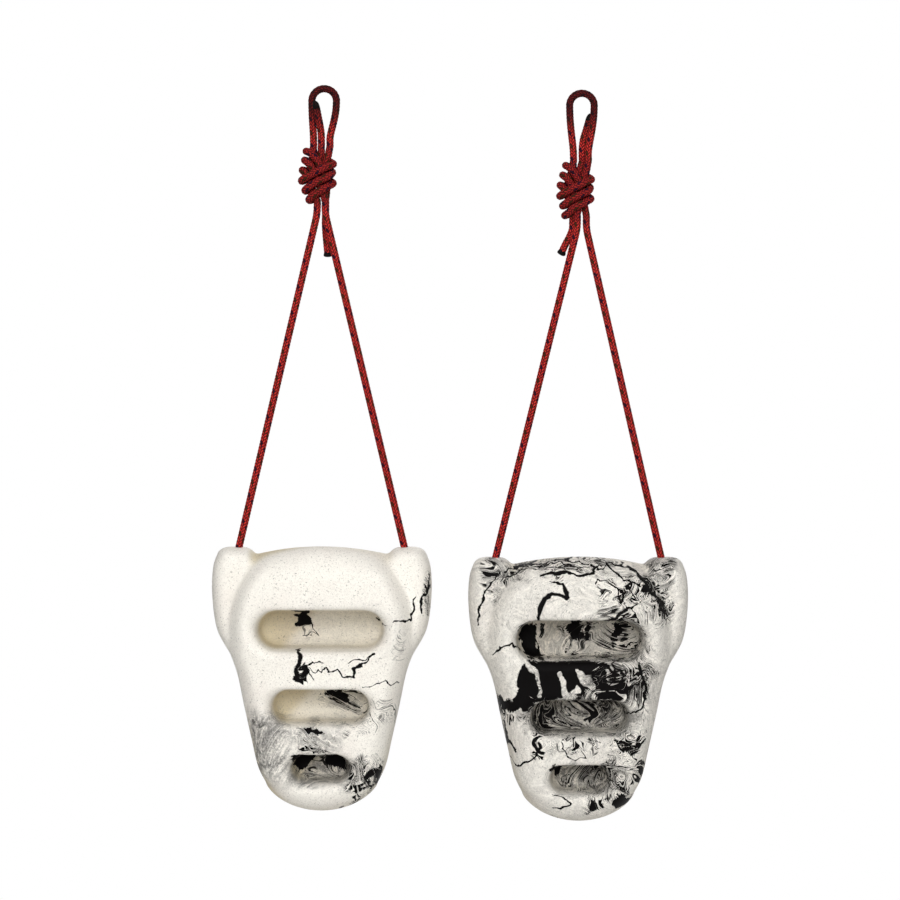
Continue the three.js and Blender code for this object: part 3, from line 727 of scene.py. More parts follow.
def blank():
    """The casting before its pockets are cut: a front and a back grid that meet on the outline."""
    levels = level_shares()
    drops = SHOULDER_DROP + levels * SIDE_LENGTH
    shares = np.array([across_shares(drop) for drop in drops])
    x = shares * side_half(drops)[:, None]
    top = top_drop(shares * SHOULDER_HALF)
    drop = top + levels[:, None] * (foot_drop(shares * HEEL_HALF) - top)
    front = front_y(x, drop)
    back = back_y(x, drop)
    below = drop - top_drop(x)
    trough = TROUGH_DEPTH * fade(back - TROUGH_MID_Y, TROUGH_REACH_Y) * fade(x, TROUGH_HALF)
    sunk = trough * fade(below, CREST_FADE)
    rows, wide = x.shape
    inside = np.zeros_like(x, bool)
    inside[1:-1, 1:-1] = True
    front_index = np.arange(rows * wide).reshape(rows, wide)
    back_index = front_index.copy()
    back_index[inside] = rows * wide + np.arange(inside.sum())
    points = np.vstack([
        np.stack([x, front, -drop], axis=2).reshape(-1, 3),
        np.stack([x, back, -drop - sunk], axis=2)[inside],
    ])
    a, b, c, d = (np.s_[:-1, :-1], np.s_[1:, :-1], np.s_[1:, 1:], np.s_[:-1, 1:])
    down, right = np.meshgrid(np.arange(rows - 1) < rows / 2, np.arange(wide - 1) >= wide / 2, indexing="ij")
    turned = (down == right)[:, :, None]
    triangles = []
    for index, order in ((front_index, 1), (back_index, -1)):
        for halves in (((a, b, d), (a, b, c)), ((b, c, d), (a, c, d))):
            other, plain = (np.stack([index[corner] for corner in half], axis=2) for half in halves)
            triangles.append(np.where(turned, other, plain).reshape(-1, 3)[:, ::order])
    return new_object("blank", points, np.vstack(triangles).tolist())


def closed_rings(name, rings, first, last):
    """A closed body from rings of points, with a fan of triangles over each end."""
    sides, count = len(rings[0]), len(rings)
    faces = tube_faces(count, sides)[:, ::-1].tolist()
    points = np.vstack([*rings, first, last])
    tip, base = len(points) - 2, (count - 1) * sides
    for i in range(sides):
        j = (i + 1) % sides
        faces += [[tip, i, j], [tip + 1, base + j, base + i]]
    return new_object(name, points, faces)


def stadium(width, height):
    """Points round a stadium and the outward direction at each."""
    radius, reach = height / 2, (width - height) / 2
    places, outs = [], []
    for sign in (1, -1):
        angle = math.pi * (np.arange(POCKET_END_STEPS + 1) / POCKET_END_STEPS - 0.5)
        out = sign * np.stack([np.cos(angle), np.sin(angle)], axis=1)
        share = 1 - 2 * np.arange(1, POCKET_EDGE_STEPS) / POCKET_EDGE_STEPS
        edge = np.stack([sign * reach * share, np.full_like(share, sign * radius)], axis=1)
        places += [out * radius + (sign * reach, 0), edge]
        outs += [out, np.tile((0.0, sign), (len(share), 1))]
    return np.vstack(places), np.vstack(outs)


def pocket_cutter(pocket):
    """A cutter for one pocket: its mouth rolls out to meet the front of the casting."""
    mouth_y = -FRONT_DEPTH - OVERRUN
    floor_y = front_y(0, pocket["drop"]) + pocket["depth"]
    place, out = stadium(pocket["width"], pocket["height"])
    lip = LIP_SIDE * out[:, 0] ** 2 + np.where(out[:, 1] > 0, LIP_TOP, LIP_BOTTOM) * out[:, 1] ** 2

    def ring(offset, y=None, depth=0):
        x = place[:, 0] + offset * out[:, 0]
        drop = pocket["drop"] - place[:, 1] - offset * out[:, 1]
        depth_y = front_y(x, drop) + depth if y is None else np.full_like(x, y)
        return np.stack([x, depth_y, -drop], axis=1)

    rings = [ring(lip, y=mouth_y), ring(lip, depth=lip * (1 - 1 / math.sin(LIP_ANGLES[0])))]
    rings += [ring(lip * (1 - math.cos(angle)), depth=lip * (1 - math.sin(angle))) for angle in LIP_ANGLES]
    for angle in CORNER_ANGLES:
        inset = POCKET_DRAFT + POCKET_ROUND * (1 - math.cos(angle))
        rings.append(ring(-inset, y=floor_y - POCKET_ROUND * (1 - math.sin(angle))))
    middle = -pocket["drop"]
    return closed_rings("pocket", rings, (0, mouth_y, middle), (0, floor_y + POCKET_HOLLOW, middle))


def bore_cutter():
    line = np.vstack([(-TUNNEL_X, 0, OVERRUN), *tunnel_bends(TUNNEL_BEND, 0), (TUNNEL_X, 0, OVERRUN)])
    rings = line[:, None] + TUNNEL_DIAMETER / 2 * directions_round(*swept_frames(line), BORE_SIDES)
    return closed_rings("bore", list(rings), line[0], line[-1])


EAR_TOP_Z = -top_drop(TUNNEL_X)
MOUTH_Z = EAR_TOP_Z - MOUTH_ROUND


def mouth_cutter(sign):
    """The flare at one end of the tunnel."""
    least = TUNNEL_DIAMETER / 2 + MOUTH_EASE
    wide = least + MOUTH_ROUND
    angles = LIP_ANGLES[::-1]
    profile = [(least + MOUTH_ROUND * (1 - math.cos(a)), MOUTH_Z + MOUTH_ROUND * math.sin(a)) for a in angles]
    profile += [(wide, EAR_TOP_Z + MOUTH_EASE), (wide, EAR_TOP_Z + OVERRUN)]
    x = sign * TUNNEL_X
    around = circle(BORE_SIDES)
    rings = [np.column_stack([r * around + (x, 0), np.full(BORE_SIDES, z)]) for r, z in profile]
    return closed_rings("mouth", rings, (x, 0, profile[0][1]), (x, 0, profile[-1][1]))


def cut(obj, cutter):
    boolean = obj.modifiers.new("cut", "BOOLEAN")
    boolean.operation = "DIFFERENCE"
    boolean.solver = "MANIFOLD"
    boolean.object = cutter
    apply_modifiers(obj)
    bpy.data.objects.remove(cutter)


def cast_shape():
    """One casting below the top of its jug, with every edge softened as a poured and tumbled one is."""
    casting = blank()
    for cutter in [*map(pocket_cutter, POCKETS), bore_cutter(), mouth_cutter(-1), mouth_cutter(1)]:
        cut(casting, cutter)
    remesh = casting.modifiers.new("even", "REMESH")
    remesh.mode = "VOXEL"
    remesh.voxel_size = CASTING_VOXEL
    smooth = casting.modifiers.new("soften", "SMOOTH")
    smooth.factor = SMOOTH_SHARE
    smooth.iterations = SMOOTH_ROUNDS
    apply_modifiers(casting)
    casting.data.shade_smooth()
    return casting


# Materials
class Nodes:
    """The nodes of a material or of the world, made by short calls. Values are numbers, tuples or sockets."""

    def __init__(self, owner, shader="ShaderNodeBsdfPrincipled", output="ShaderNodeOutputMaterial"):
        owner.use_nodes = True
        self.owner = owner
        self.tree = owner.node_tree
        self.tree.nodes.clear()
        self.shader = self.tree.nodes.new(shader)
        self.surface = self.tree.nodes.new(output).inputs["Surface"]
        self.put(self.surface, self.shader.outputs[0])

    def put(self, socket, value):
        if isinstance(value, bpy.types.NodeSocket):
            self.tree.links.new(value, socket)
        else:
            socket.default_value = value

    def node(self, kind, values=(), **settings):
        """A node with these values in its first inputs, or in the inputs that a dictionary names."""
        node = self.tree.nodes.new(kind)
        for key, value in settings.items():
            setattr(node, key, value)
        named = values if isinstance(values, dict) else dict(enumerate(values))
        for key, value in named.items():
            self.put(node.inputs[key], value)
        return node

    def math(self, operation, *values):
        return self.node("ShaderNodeMath", values, operation=operation).outputs[0]

    def times(self, a, b):
        return self.math("MULTIPLY", a, b)

    def times_plus(self, a, b, c):
        return self.math("MULTIPLY_ADD", a, b, c)

    def plus(self, a, b):
        return self.math("ADD", a, b)

    def minus(self, a, b):
        return self.math("SUBTRACT", a, b)

    def larger(self, a, b):
        return self.math("MAXIMUM", a, b)

    def smaller(self, a, b):
        return self.math("MINIMUM", a, b)

    def apart(self, a, b):
        return self.math("ABSOLUTE", self.minus(a, b))

    def vector(self, operation, *values, output=0):
        return self.node("ShaderNodeVectorMath", values, operation=operation).outputs[output]

    def scaled(self, where, scale):
        return self.node("ShaderNodeVectorMath", {0: where, "Scale": scale}, operation="SCALE").outputs[0]

    def place(self):
        return self.node("ShaderNodeTexCoord").outputs["Object"]

    def split(self, where):
        return self.node("ShaderNodeSeparateXYZ", (where,)).outputs

    def noise(self, where, scale, detail=2.0, roughness=0.5, output="Fac"):
        values = {"Vector": where, "Scale": scale, "Detail": detail, "Roughness": roughness}
        return self.node("ShaderNodeTexNoise", values).outputs[output]

    def stripes(self, value, scale, detail, roughness):
        """Noise of a single value, so that lines run where the value stays the same."""
        values = {"W": value, "Scale": scale, "Detail": detail, "Roughness": roughness}
        return self.node("ShaderNodeTexNoise", values, noise_dimensions="1D").outputs["Fac"]

    def smooth(self, value, start, end):
        """0 below start, 1 above end; start may be above end. A node clamp here would fill Cycles' stack."""
        values = {"Value": value, "From Min": start, "From Max": end}
        settings = {"interpolation_type": "SMOOTHSTEP", "clamp": False}
        return self.node("ShaderNodeMapRange", values, **settings).outputs["Result"]

    def mix(self, share, a, b):
        a, b = ((*colour, 1.0) if isinstance(colour, tuple) else colour for colour in (a, b))
        return self.node("ShaderNodeMix", {0: share, 6: a, 7: b}, data_type="RGBA").outputs[2]

    def bump(self, height, strength, distance):
        values = {"Strength": strength, "Distance": distance, "Height": height}
        self.put(self.shader.inputs["Normal"], self.node("ShaderNodeBump", values).outputs[0])

    def finish(self, **sockets):
        for name, value in sockets.items():
            self.put(self.shader.inputs[name.replace("_", " ")], value)
        return self.owner


CORD_RED = (0.66, 0.040, 0.030)
CORD_DARK_RED = (0.050, 0.004, 0.006)
# Darker red towards the top of the eye, where it lies over the hook
DARK_TOP_RED = (0.016, 0.004, 0.005)
# Dirt and painted shade round the knot
KNOT_DIRT_AND_SHADE_RED = (0.075, 0.006, 0.008)
NAVY_FLECK = (0.008, 0.003, 0.012)
OLIVE_FLECK = (0.020, 0.013, 0.004)
# Flecks: their strand among those of a period, their strength and their colour
FLECKS = [(4.5, 0.9, OLIVE_FLECK), (0.5, 0.96, NAVY_FLECK)]
FLECK_PERIOD = 8.0
FLECK_REACH = 0.85
# From the middle of a stitch, where its groove begins and where it is deepest, across and along the stitch,
# and how dark the groove's painted shade is
GROOVE_ACROSS = (0.12, 0.5)
GROOVE_ALONG = (0.5, 1.0)
GROOVE_PAINTED_SHADE = 0.98
# Fibres: how many across and along a stitch, the noise level that adds no shade, and their shade and relief
FIBRE_COUNTS = (9.0, 0.9)
FIBRE_LEVEL = 0.66
FIBRE_SHADE = 0.5
FIBRE_RELIEF = 0.5
PATCH_SCALE = 420.0
PATCH_LEVELS = (0.58, 0.35)
PATCH_SHARE = 0.3
# Darker red below the hook, up to it, and dirt with painted shade round the knot, each with how much a patch
# adds to it and its least share
DARK_TOP_FROM = 34 * MM
DARK_TOP_TO = 10 * MM
DARK_TOP_SHARES = (0.5, 0.6)
KNOT_CORE = 19 * MM
KNOT_EDGE = 27 * MM
KNOT_DIRT_AND_SHADE_SHARES = (0.6, 0.22)
# Strength and height of the relief, here and below
CORD_RELIEF = (0.8, 0.25 * MM)


def braid_cells(n):
    """Which way the top strand runs at a place on the braid, its count, and the place across and along it."""
    round_share, pitches, _ = n.split(n.node("ShaderNodeUVMap", uv_map="cord_uv").outputs[0])
    round_share = n.times(round_share, float(CARRIERS))
    a = n.plus(round_share, pitches)
    b = n.minus(round_share, pitches)
    i, j = n.math("FLOOR", a), n.math("FLOOR", b)
    cell = n.plus(i, j)
    right = n.math("LESS_THAN", n.math("FLOORED_MODULO", cell, 4.0), 2.0)

    def choose(yes, no):
        return n.times_plus(right, n.minus(yes, no), no)

    across = choose(n.minus(a, i), n.minus(b, j))
    along_right = n.math("FLOORED_MODULO", n.plus(b, i), 4.0)
    along_left = n.minus(n.math("FLOORED_MODULO", n.plus(a, j), 4.0), 2.0)
    return right, a, cell, across, choose(along_right, along_left)


def cord_material(side):
    """Red braid with dark tracer strands, painted shade in its grooves, dirt and painted shade round the
    knot, and darker where it lies over the hook.
    """
    n = Nodes(bpy.data.materials.new(f"{side}_braided_cord"))
    right, strand, cell, across, along = braid_cells(n)
    groove_across = n.smooth(n.apart(across, 0.5), *GROOVE_ACROSS)
    groove_along = n.smooth(n.apart(along, 1.0), *GROOVE_ALONG)
    groove = n.larger(groove_across, groove_along)

    place = n.place()
    height = n.split(place)[2]
    hook_z = -HANGS[side]["drop"]
    dark_top = n.smooth(height, hook_z - DARK_TOP_FROM, hook_z - DARK_TOP_TO)
    in_knot = n.smooth(n.apart(height, hook_z - HANGS[side]["knot_drop"]), KNOT_EDGE, KNOT_CORE)
    yarn = n.times(across, FIBRE_COUNTS[0]), n.times(along, FIBRE_COUNTS[1]), cell
    fibres = n.noise(n.node("ShaderNodeCombineXYZ", yarn).outputs[0], 1.0)
    patchy = n.noise(place, PATCH_SCALE)

    # Painted shade in the grooves between stitches, and the fibres' own tone
    shade = n.times_plus(groove, GROOVE_PAINTED_SHADE, n.times(n.minus(FIBRE_LEVEL, fibres), FIBRE_SHADE))
    red = n.mix(shade, CORD_RED, CORD_DARK_RED)
    red = n.mix(n.times(n.smooth(patchy, *PATCH_LEVELS), PATCH_SHARE), red, CORD_DARK_RED)
    # Dirt and painted shade round the knot, in patches
    red = n.mix(n.times(in_knot, n.times_plus(patchy, *KNOT_DIRT_AND_SHADE_SHARES)), red, KNOT_DIRT_AND_SHADE_RED)
    turn = n.math("FLOORED_MODULO", strand, FLECK_PERIOD)
    for fleck_strand, strength, colour in FLECKS:
        fleck = n.times(right, n.math("COMPARE", turn, fleck_strand, FLECK_REACH))
        red = n.mix(n.times(fleck, strength), red, colour)
    # Darker towards the top of the eye, where it lies over the hook
    red = n.mix(n.times(dark_top, n.times_plus(patchy, *DARK_TOP_SHARES)), red, DARK_TOP_RED)
    n.bump(n.times_plus(fibres, FIBRE_RELIEF, n.minus(1.0, groove)), *CORD_RELIEF)
    return n.finish(Base_Color=red, Roughness=0.85, Specular_IOR_Level=0.08)


MELT_BLACK = (0.002, 0.0015, 0.0015)
MELT_BROWN = (0.012, 0.004, 0.004)
MELT_NOISE = (700.0, 3.0, 0.55)
MELT_LEVELS = (0.5, 0.8)
MELT_ROUGHNESS = (0.3, 0.45)
MELT_RELIEF = (0.6, 0.3 * MM)


def melted_material():
    n = Nodes(bpy.data.materials.new("melted_cord_end"))
    blobs = n.noise(n.place(), *MELT_NOISE)
    colour = n.mix(n.smooth(blobs, *MELT_LEVELS), MELT_BLACK, MELT_BROWN)
    n.bump(blobs, *MELT_RELIEF)
    rough = n.times_plus(blobs, *MELT_ROUGHNESS)
    return n.finish(Base_Color=colour, Roughness=rough, Specular_IOR_Level=0.06)


# From here to the resin's material, lengths on a casting are in mm and noise scales are per mm
PALE_RESIN = (0.905, 0.872, 0.8)
# Yellowed resin and painted shade inside the pockets
YELLOWED_AND_SHADED_RESIN = (0.6, 0.505, 0.3)
STAIN = (0.64, 0.53, 0.48)
INK = (0.0035, 0.003, 0.003)
GREY_SWIRL = (0.13, 0.125, 0.12)
GRAIN = (0.42, 0.375, 0.335)
SPECK = (0.1, 0.09, 0.08)

# How densely ink lies where: centre x and drop below the jug, half width, half height and density, from 0.2
# for a few patches to 1 for solid black
INK_ZONES = {
    "left": [
        (-14, 53, 4.5, 6, 0.92), (-17.5, 48.5, 3, 2, 0.66), (-12.5, 90, 3.5, 5, 0.74),
        (12, 104, 6, 2.5, 0.8), (13, 110, 3, 6, 0.66), (20, 117, 4, 5, 0.48), (42, 118, 12, 9, 0.3),
        (-8, 130, 9, 2.5, 0.46), (-6, 142, 8, 2.5, 0.56), (-13, 154, 7, 6, 0.94), (8, 154, 8, 6, 0.9),
        (20, 158, 5, 6, 0.55), (39, 165, 6, 3.5, 0.8), (31, 172, 4, 4, 0.62), (27, 180, 4, 4, 0.56),
        (20, 187, 7, 2.5, 0.7),
    ],
    "right": [
        (-14, 5, 40, 3, 0.4), (50, 22, 7, 8, 0.66), (59, 35, 5, 9, 0.56), (60, 8, 8, 5, 0.45),
        (-60, 10, 5, 7, 0.5), (-37, 60, 6, 12, 0.9), (-30, 66, 4, 5, 0.8), (-26, 53, 2, 6, 0.74),
        (-3, 52, 3.5, 7, 0.8), (4, 53, 2.5, 6, 0.72), (28, 60, 3, 11, 0.7), (36, 62, 2, 9, 0.55),
        (25, 44, 6, 2.5, 0.85), (-21, 86, 12, 13.5, 1.0), (-1, 86, 12, 13.5, 0.94), (16, 85, 8, 13, 0.62),
        (22, 95, 10, 6, 0.76), (36, 88, 15, 13, 0.55), (-38, 90, 6, 14, 1.0), (-48, 102, 9, 5, 0.96),
        (-53, 109, 4, 6, 0.72), (-29, 134, 2.5, 9, 0.6), (-24, 114, 9, 10, 0.58), (14, 110, 22, 8, 0.42),
        (-4, 131, 3.5, 3.5, 0.7), (34, 131, 9, 4, 0.62), (-16, 151, 5.5, 4.5, 0.92), (14, 154, 8, 9, 0.44),
        (11, 176, 7, 5, 0.64), (31, 173, 3.5, 6, 0.8),
    ],
}
# Nested fine lines that follow the same swirls: centre x, drop, half width, half height and strength
LINE_ZONES = {
    "left": [
        (75, 33, 4, 15, 0.9), (56, 68, 6, 12, 0.55), (-12, 62, 6, 5, 0.6), (19, 112, 12, 11, 0.9),
        (5, 110, 5, 6, 0.8), (42, 118, 11, 7, 0.62), (30, 126, 6, 5, 0.55), (17, 130, 5, 3.5, 0.75),
        (-7, 135, 13, 7, 0.66), (0, 156, 20, 11, 0.8), (31, 156, 12, 10, 1.0), (34, 172, 12, 9, 1.0),
        (23, 186, 8, 4, 0.9), (-44, 121, 8, 5, 0.6),
    ],
    "right": [
        (0, 95, 110, 130, 0.33), (-14, 7, 44, 7, 0.8), (29, 28, 17, 17, 1.0), (55, 31, 11, 17, 0.95),
        (61, 12, 10, 12, 0.85), (-60, 14, 8, 14, 0.9), (30, 59, 17, 15, 1.0), (0, 58, 12, 13, 0.8),
        (27, 88, 25, 14, 1.0), (0, 113, 40, 13, 1.0), (12, 129, 36, 8, 0.85), (34, 150, 15, 21, 1.0),
        (4, 156, 20, 11, 0.9), (12, 174, 12, 7, 0.85), (-34, 94, 12, 16, 0.7),
    ],
}
# Soft grey smoke: centre x, drop, half width, half height and strength
SMOKE_ZONES = {
    "left": [
        (-38, 143, 15, 22, 0.9), (-24, 134, 10, 8, 0.45), (-6, 135, 18, 9, 0.6), (0, 158, 25, 11, 0.8),
        (20, 112, 11, 10, 0.6), (12, 60, 40, 16, 0.16),
    ],
    "right": [
        (0, 95, 110, 130, 0.26), (-60, 14, 8, 14, 0.7), (61, 12, 10, 13, 0.7), (0, 112, 40, 13, 0.95),
        (5, 59, 44, 16, 0.55), (4, 156, 22, 11, 0.9), (27, 88, 25, 14, 0.8),
    ],
}
# Single veins, each a line of x, drop and half width, and veins left clear of ink
INK_VEINS = {
    "left": [
        [(-14.5, 74, 1.1), (-16.2, 83, 1.7), (-15.5, 91, 2.0), (-12, 95.5, 0.9)],
        [(-14, 83, 0.9), (-6, 79.5, 0.5), (4, 80, 0.3)],
        [(-14, 84, 0.9), (-9, 88, 0.6), (-5, 94.6, 0.4)],
        [(-9, 84, 0.4), (-4, 88.5, 0.5), (-1, 85.8, 0.5), (1.4, 88.5, 0.5), (5, 83.3, 0.5), (6.5, 87.8, 0.6),
         (13, 85.2, 0.6), (16.6, 90.3, 0.7), (24.5, 91, 0.6), (26, 85.8, 0.7), (32, 80.7, 0.7),
         (40, 75.7, 0.5)],
        [(23, 81.5, 0.3), (29.6, 78.3, 0.5), (38.6, 76.8, 0.35)],
        [(40, 51.4, 0.5), (43, 55.4, 0.8), (47, 55.8, 0.4)],
        [(52.7, 54.3, 0.35), (59, 54, 0.7), (64.8, 51.3, 0.6), (66, 45, 0.7), (67.4, 36, 0.4)],
        [(77, 19.4, 0.7), (75.7, 29.6, 1.1), (72.4, 37.3, 0.8), (71, 47.5, 0.5)],
        [(-20, 46.5, 0.9), (-10, 47.5, 1.1)],
        [(-8, 52.6, 0.7), (-5.3, 60.4, 0.5), (-2.7, 64.8, 0.4)],
        [(-14, 66, 0.35), (-6.5, 62.9, 0.5), (-2.7, 65.4, 0.3)],
        [(30.8, 99, 0.3), (40, 96.8, 0.3), (55, 94.9, 0.25)],
    ],
    "right": [
        [(-31.2, 42.3, 1.8), (-29.3, 34.6, 2.0), (-26, 28.8, 2.2), (-19, 25.4, 1.6), (-13.3, 26.7, 1.7),
         (-9.4, 28.8, 1.4)],
        [(-9.6, 28, 1.3), (-10, 23.1, 1.6), (-12.9, 18.6, 1.0), (-21, 16.5, 0.4)],
        [(-28, 12.6, 0.8), (-16.5, 10.5, 1.2), (-3.6, 10, 0.8), (6.6, 11.3, 1.5), (8.9, 7.1, 1.0),
         (13, 3.2, 0.5)],
        [(-70, 49, 0.5), (-69, 35, 0.7), (-66, 23, 0.5), (-57, 10, 0.7)],
        [(-60, 69, 0.5), (-55.5, 63, 0.6), (-48.5, 62, 0.4), (-42, 68, 0.6)],
        [(-55, 119, 1.0), (-51, 131, 1.2), (-46, 138, 0.5)],
        [(-50, 143.5, 0.4), (-43, 148, 0.6), (-36, 146, 0.7), (-31.5, 139.6, 1.2), (-29, 131, 1.6)],
        [(-18, 168, 0.3), (-10, 170, 0.6), (-7.5, 174, 0.8), (-12.6, 178.6, 0.8), (-19, 179.3, 0.3)],
        [(-21, 184, 0.3), (-11, 188, 0.4)],
        [(-48, 8.6, 0.4), (-36, 5.2, 0.6), (-24, 3.4, 0.4), (-9, 2.4, 0.5), (6, 2.6, 0.3)],
        [(-53, 10.5, 0.5), (-41, 7.4, 0.4), (-30, 6, 0.5), (-17, 4.4, 0.4), (-2, 5, 0.5), (7, 4.4, 0.3)],
        [(-56, 17, 0.4), (-49, 12, 0.5), (-38, 9, 0.3), (-22, 8, 0.4), (-10, 7, 0.3)],
        [(8, 3.6, 0.6), (12.5, 8, 0.7), (19, 5, 0.5), (24, 9, 0.7), (34, 16.5, 0.6), (43, 21, 0.8)],
        [(20, 4, 0.5), (30, 6.5, 0.8), (38, 10.5, 0.9), (46, 16.5, 1.5), (50, 26, 2.0), (58, 33, 1.2),
         (61, 40, 0.8)],
        [(10, 19, 0.5), (11.5, 16, 0.6), (19, 17.6, 0.5), (26.5, 23, 0.7), (25, 28, 0.6), (27, 31.8, 0.7),
         (31, 27, 0.5), (30, 23, 0.4), (35, 24.5, 0.6), (38, 28.5, 0.5)],
        [(15.7, 44, 1.5), (24, 43, 1.5), (30, 38, 0.9), (36, 33.7, 0.6), (39.4, 31.6, 0.4)],
        [(6, 74.5, 0.8), (19, 78, 0.8), (24, 86, 1.0), (21.5, 93.5, 0.9), (14.5, 99.6, 0.7)],
        [(20.6, 75.5, 0.6), (28.4, 84, 0.9), (28.4, 92, 0.9), (24, 100, 0.6)],
        [(42, 77, 0.6), (44, 87, 1.0), (45, 99, 1.1), (38, 108, 0.7), (33, 112, 0.5)],
        [(-13, 129, 0.4), (-14, 135, 0.5), (-10.6, 141, 0.5), (-3.7, 143, 0.5), (3, 139, 0.4),
         (0, 134.5, 0.3)],
        [(24, 129, 0.7), (29, 135, 1.2), (36, 132.6, 0.8), (42.4, 134.4, 1.1), (47, 130, 0.8)],
    ],
}
CLEAR_VEINS = {
    "left": [],
    "right": [
        [(-42, 68, 1.0), (-33, 82, 1.5), (-28, 99, 1.4)],
        [(-16, 82, 1.0), (-10, 96, 3.2)],
        [(-1, 80, 1.2), (4, 86, 3.0), (10, 90, 1.5)],
        [(-9, 97, 1.6), (-1, 92, 1.8)],
    ],
}
# Where a zone's strength goes from none to all: its outline lies at 1
ZONE_EDGE = (2.0, 0.35)
# Noise of each scale pushes places about by up to half of its reach, one after another
SWIRLS = [(0.018, 70.0), (0.045, 30.0), (0.11, 11.0), (0.28, 3.2)]
VEIN_JITTER = [(0.07, 7.0), (0.2, 3.4), (0.6, 0.9)]
ZONE_JITTER = [(0.05, 15.0), (0.13, 8.0), (0.35, 3.0)]
SEEDS = {"left": (0.0, 0.0, 0.0), "right": (210.0, 90.0, 40.0)}
# The field that the stripes follow: layers across the casting, and noise by scale, detail and roughness
LAYERS_ACROSS = (0.0043, 0.0033, 0.0095)
FIELD_NOISE = (0.022, 1.0, 0.4)
STRIPES = (26.0, 3.0, 0.62)
FINE_STRIPES = (48.0, 2.0, 0.55)
HAZE_NOISE = (0.16, 4.0, 0.6)
DUST_NOISE = (0.55, 3.0, 0.7)
FADE_SCALE = 0.1
# Ink lies where the stripes rise above a level, which a full zone lowers by this drop, and in the veins
INK_LEVEL = 0.84
ZONE_DROP = 0.66
INK_EDGE = (-0.012, 0.018)
VEIN_EDGE = (1.25, 0.75)
CLEAR_EDGE = (0.75, 1.1)
FAR = 9.0
# Fine lines lie along the middle level of the fine stripes, as wide as this at most
LINE_WIDTH = 0.0896
LINE_EDGE = (0.006, -0.03)
LINE_FADE = (0.25, 0.65)
LINE_ZONE_FADE = (0.0, 0.9)
# Smoke lies round the ink and in clouds of haze, dust and fine stripes
FRINGE_EDGE = (-0.13, 0.0)
FRINGE_HAZE = (0.35, 0.65)
FRINGE_SHARE = 0.55
DUST_SHARE = 0.6
STRIPE_SHARE = 0.25
CLOUD_EDGE = (0.68, 1.08)
# Behind the pockets the marbling drifts sideways and up, so that the back has its own pattern
BACK_FADE = (8.0, 22.0)
BACK_DRIFT = (46.0, 0.0, -38.0)


def pushed(n, place, pushes):
    for scale, reach in pushes:
        push = n.vector("SUBTRACT", n.noise(place, scale, 0.0, output="Color"), (0.5, 0.5, 0.5))
        place = n.vector("ADD", place, n.scaled(push, reach))
    return place


def nearest_vein(n, flat, veins):
    """Distance to the nearest vein, in shares of its half width there."""
    nearest = FAR
    for vein in veins:
        for (x0, d0, r0), (x1, d1, r1) in zip(vein, vein[1:]):
            run = Vector((x1 - x0, 0, d0 - d1))
            offset = n.vector("SUBTRACT", flat, (x0, 0.0, -d0))
            along = n.vector("DOT_PRODUCT", offset, run, output=1)
            share = n.math("DIVIDE", along, run.length_squared)
            share = n.smaller(n.larger(share, 0.0), 1.0)
            away = n.vector("DISTANCE", offset, n.scaled(run, share), output=1)
            half_width = n.times_plus(share, r1 - r0, r0)
            nearest = n.smaller(n.math("DIVIDE", away, half_width), nearest)
    return nearest


def zone_strength(n, flat, zones):
    """The strongest zone that holds a place; zones are blocks with well rounded corners."""
    strongest = 0.0
    for x, drop, half_width, half_height, strength in zones:
        offset = n.vector("SUBTRACT", flat, (x, 0.0, -drop))
        offset = n.vector("DIVIDE", offset, (half_width, 1.0, half_height))
        square = n.vector("MULTIPLY", offset, offset)
        inside = n.smooth(n.vector("LENGTH", square, output=1), *ZONE_EDGE)
        strongest = n.larger(n.times(inside, strength), strongest)
    return strongest


def flattened(n, place, seed, jitter):
    """The place seen from the front, pushed about a little, and drifting off towards the back."""
    moved = n.vector("ADD", place, n.vector("SUBTRACT", pushed(n, seed, jitter), seed))
    drift = n.scaled(BACK_DRIFT, n.smooth(n.split(place)[1], *BACK_FADE))
    return n.vector("MULTIPLY", n.vector("ADD", moved, drift), (1.0, 0.0, 1.0))


